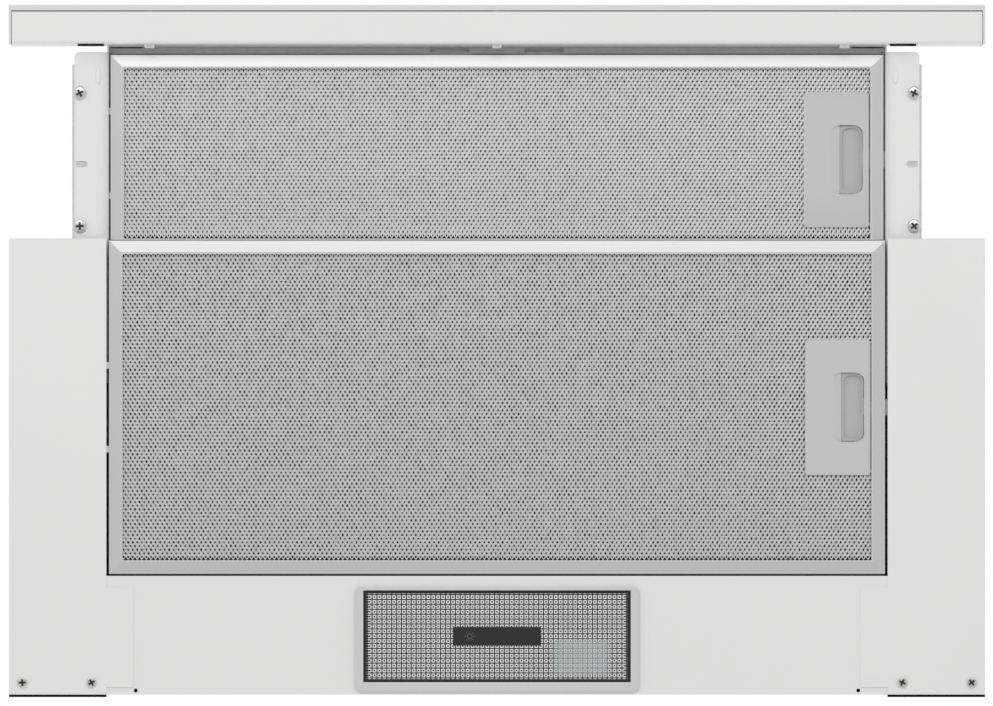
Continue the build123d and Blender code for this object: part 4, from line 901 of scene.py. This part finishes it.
@dataclass
class Drawer:
    """Front panel, drawer sides and slides."""

    washer_radius: float = 4.4 * MM
    head_radius: float = 3.8 * MM
    head_proud: float = 2.2 * MM
    dimple_centre: tuple[float, float] = (244.5 * MM, -168.3 * MM)
    dimple_half: tuple[float, float, float] = (1.5 * MM, 4.3 * MM, 0.5 * MM)
    dimple_grid: tuple[int, int] = (7, 28)
    dimple_root: float = 0.1 * MM

    def build(self) -> None:
        """Dress each piece, make the screws under the rails and press the rails' dimples."""
        # The fascia's darker paint is painted shade.
        SHADED_PANEL_PAINT.dress_nodes("front_fascia")
        WHITE_PAINT.dress_nodes("front_carrier", "drawer_side_left", "drawer_side_right")
        # The front wall's darker zinc is painted shade behind the front panel.
        DULL_AND_SHADED_ZINC.dress_nodes("drawer_front_wall")
        ZINC.dress_nodes("drawer_top_deck", "drawer_rear_bar", "slide_moving_left", "slide_moving_right")
        BLACK_FOAM.dress_nodes("rubber_buffers")
        BRIGHT_ZINC.dress_nodes("fascia_screws")
        WHITE_MOULDING.dress_nodes("switch_bezel", "light_knob", "speed_knob")
        BLACK_MOULDING.dress_nodes("switch_housing")
        low, high = corner("rail_screws")
        washer = self.washer_radius
        x = high[0] - washer
        seat = corner("drawer_side_right")[0][2]
        rows = (low[1] + washer, high[1] - washer)
        places = [(side * x, y, seat) for side in (-1, 1) for y in rows]
        CrossHeadScrews("rail_screws", "drawer", self.head_radius, places, self.head_proud, washer).build()
        self.dimples(seat)
        LOG.info("drawer dressed")

    def dimples(self, seat: float) -> None:
        """Small oval bump near the front of each rail.

        With t from 0 at the bump's lowest point to a quarter turn at its edge, the ring at t reaches
        a sin t by b sin t and lies h cos t below the rail. A last point above the face closes it.

        Args:
            seat: height of the rail's lower face.
        """
        rings, count = self.dimple_grid
        wide, long, deep = self.dimple_half
        t = np.linspace(0.0, math.pi / 2, rings)[:, None]
        turn = (np.arange(count) * 2 * math.pi / count)[None, :]
        x = wide * np.sin(t) * np.cos(turn)
        y = long * np.sin(t) * np.sin(turn)
        z = seat - deep * np.cos(t) + 0.0 * turn
        dome = np.stack([x, y, z], 2).reshape(-1, 3)
        cap = np.tile([0.0, 0.0, seat + self.dimple_root], (count, 1))
        shape = np.concatenate([dome, cap])
        faces = grid_triangles(rings + 1, count, wrap=True)
        across, along = self.dimple_centre
        parts = [(shape + [side * across, along, 0.0], faces) for side in (-1, 1)]
        piece = triangles_object("rail_dimples", *joined(parts), smooth=True)
        recalculate_normals(piece)
        WHITE_PAINT.dress(piece)
        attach(piece, "drawer")


# ---------------------------------------------------------------- studio
@dataclass
class Studio:
    """Floor, lights, pale surroundings and the camera under the hood."""

    camera_drop: float = 5.5
    view_width: float = 0.6084
    floor_drop: float = 16.0
    floor_half: float = 23.6
    subject_height: float = 0.003
    sensor_width: float = 36.0
    clip_end: float = 50.0
    aim: tuple[float, float] = (-0.0003, 0.0012)

    def build(self) -> None:
        """Make all of it."""
        self.floor()
        self.surroundings()
        self.panel("low_front_light", (0.0, -0.78, -1.5), (2.4, 0.6), 2.5)
        self.panel("front_light", (-0.3, -1.9, -2.2), (2.2, 0.9), 18.0)
        self.panel("top_light", (-1.2, -1.8, 2.6), (1.6, 1.6), 8.0)
        self.camera()

    def floor(self) -> None:
        """Wide pale floor far below."""
        half = self.floor_half
        z = -self.floor_drop
        points = np.array([[-half, -half, z], [half, -half, z], [half, half, z], [-half, half, z]])
        floor = triangles_object("floor", points, np.array([[0, 1, 2], [0, 2, 3]]))
        PALE_FLOOR.dress(floor)

    def surroundings(self) -> None:
        """Even white light from all around."""
        world = bpy.data.worlds.new("surroundings")
        world.use_nodes = True
        background = world.node_tree.nodes["Background"]
        background.inputs["Color"].default_value = (1.0, 1.0, 1.0, 1.0)
        background.inputs["Strength"].default_value = 1.0
        bpy.context.scene.world = world
        bpy.context.scene.view_settings.view_transform = "Standard"

    def panel(self, name: str, place: Triple, size: tuple[float, float], watts: float) -> None:
        """Soft rectangular light that faces the hood.

        Args:
            name: name of the light.
            place: its middle in metres.
            size: its two sides in metres.
            watts: its power.
        """
        light = bpy.data.lights.new(name, "AREA")
        light.shape = "RECTANGLE"
        light.size, light.size_y = size
        light.energy = watts
        lamp = bpy.data.objects.new(name, light)
        lamp.location = place
        bpy.context.scene.collection.objects.link(lamp)
        lamp.rotation_euler = (-Vector(place)).to_track_quat("-Z", "Y").to_euler()
        lamp.visible_camera = False

    def camera(self) -> None:
        """Camera straight below, looking up, with the front panel at the top of the frame."""
        data = bpy.data.cameras.new("camera")
        data.sensor_width = self.sensor_width
        data.lens = self.sensor_width * (self.camera_drop + self.subject_height) / self.view_width
        data.clip_end = self.clip_end
        camera = bpy.data.objects.new("camera", data)
        camera.location = (*self.aim, -self.camera_drop)
        camera.rotation_euler = (math.pi, 0.0, 0.0)
        bpy.context.scene.collection.objects.link(camera)
        bpy.context.scene.camera = camera


def main() -> None:
    """Build every sub-assembly in order."""
    logging.basicConfig(level=logging.INFO, format="%(name)s: %(message)s")
    Body().build()
    Drawer().build()
    GreaseFilter("fixed_filter", parts=4, hole_half=(0.65 * MM, 1.11 * MM)).build()
    GreaseFilter("drawer_filter", parts=2, hole_half=(0.57 * MM, 0.98 * MM)).build()
    Lamp().build()
    Studio().build()


if __name__ == "__main__":
    main()
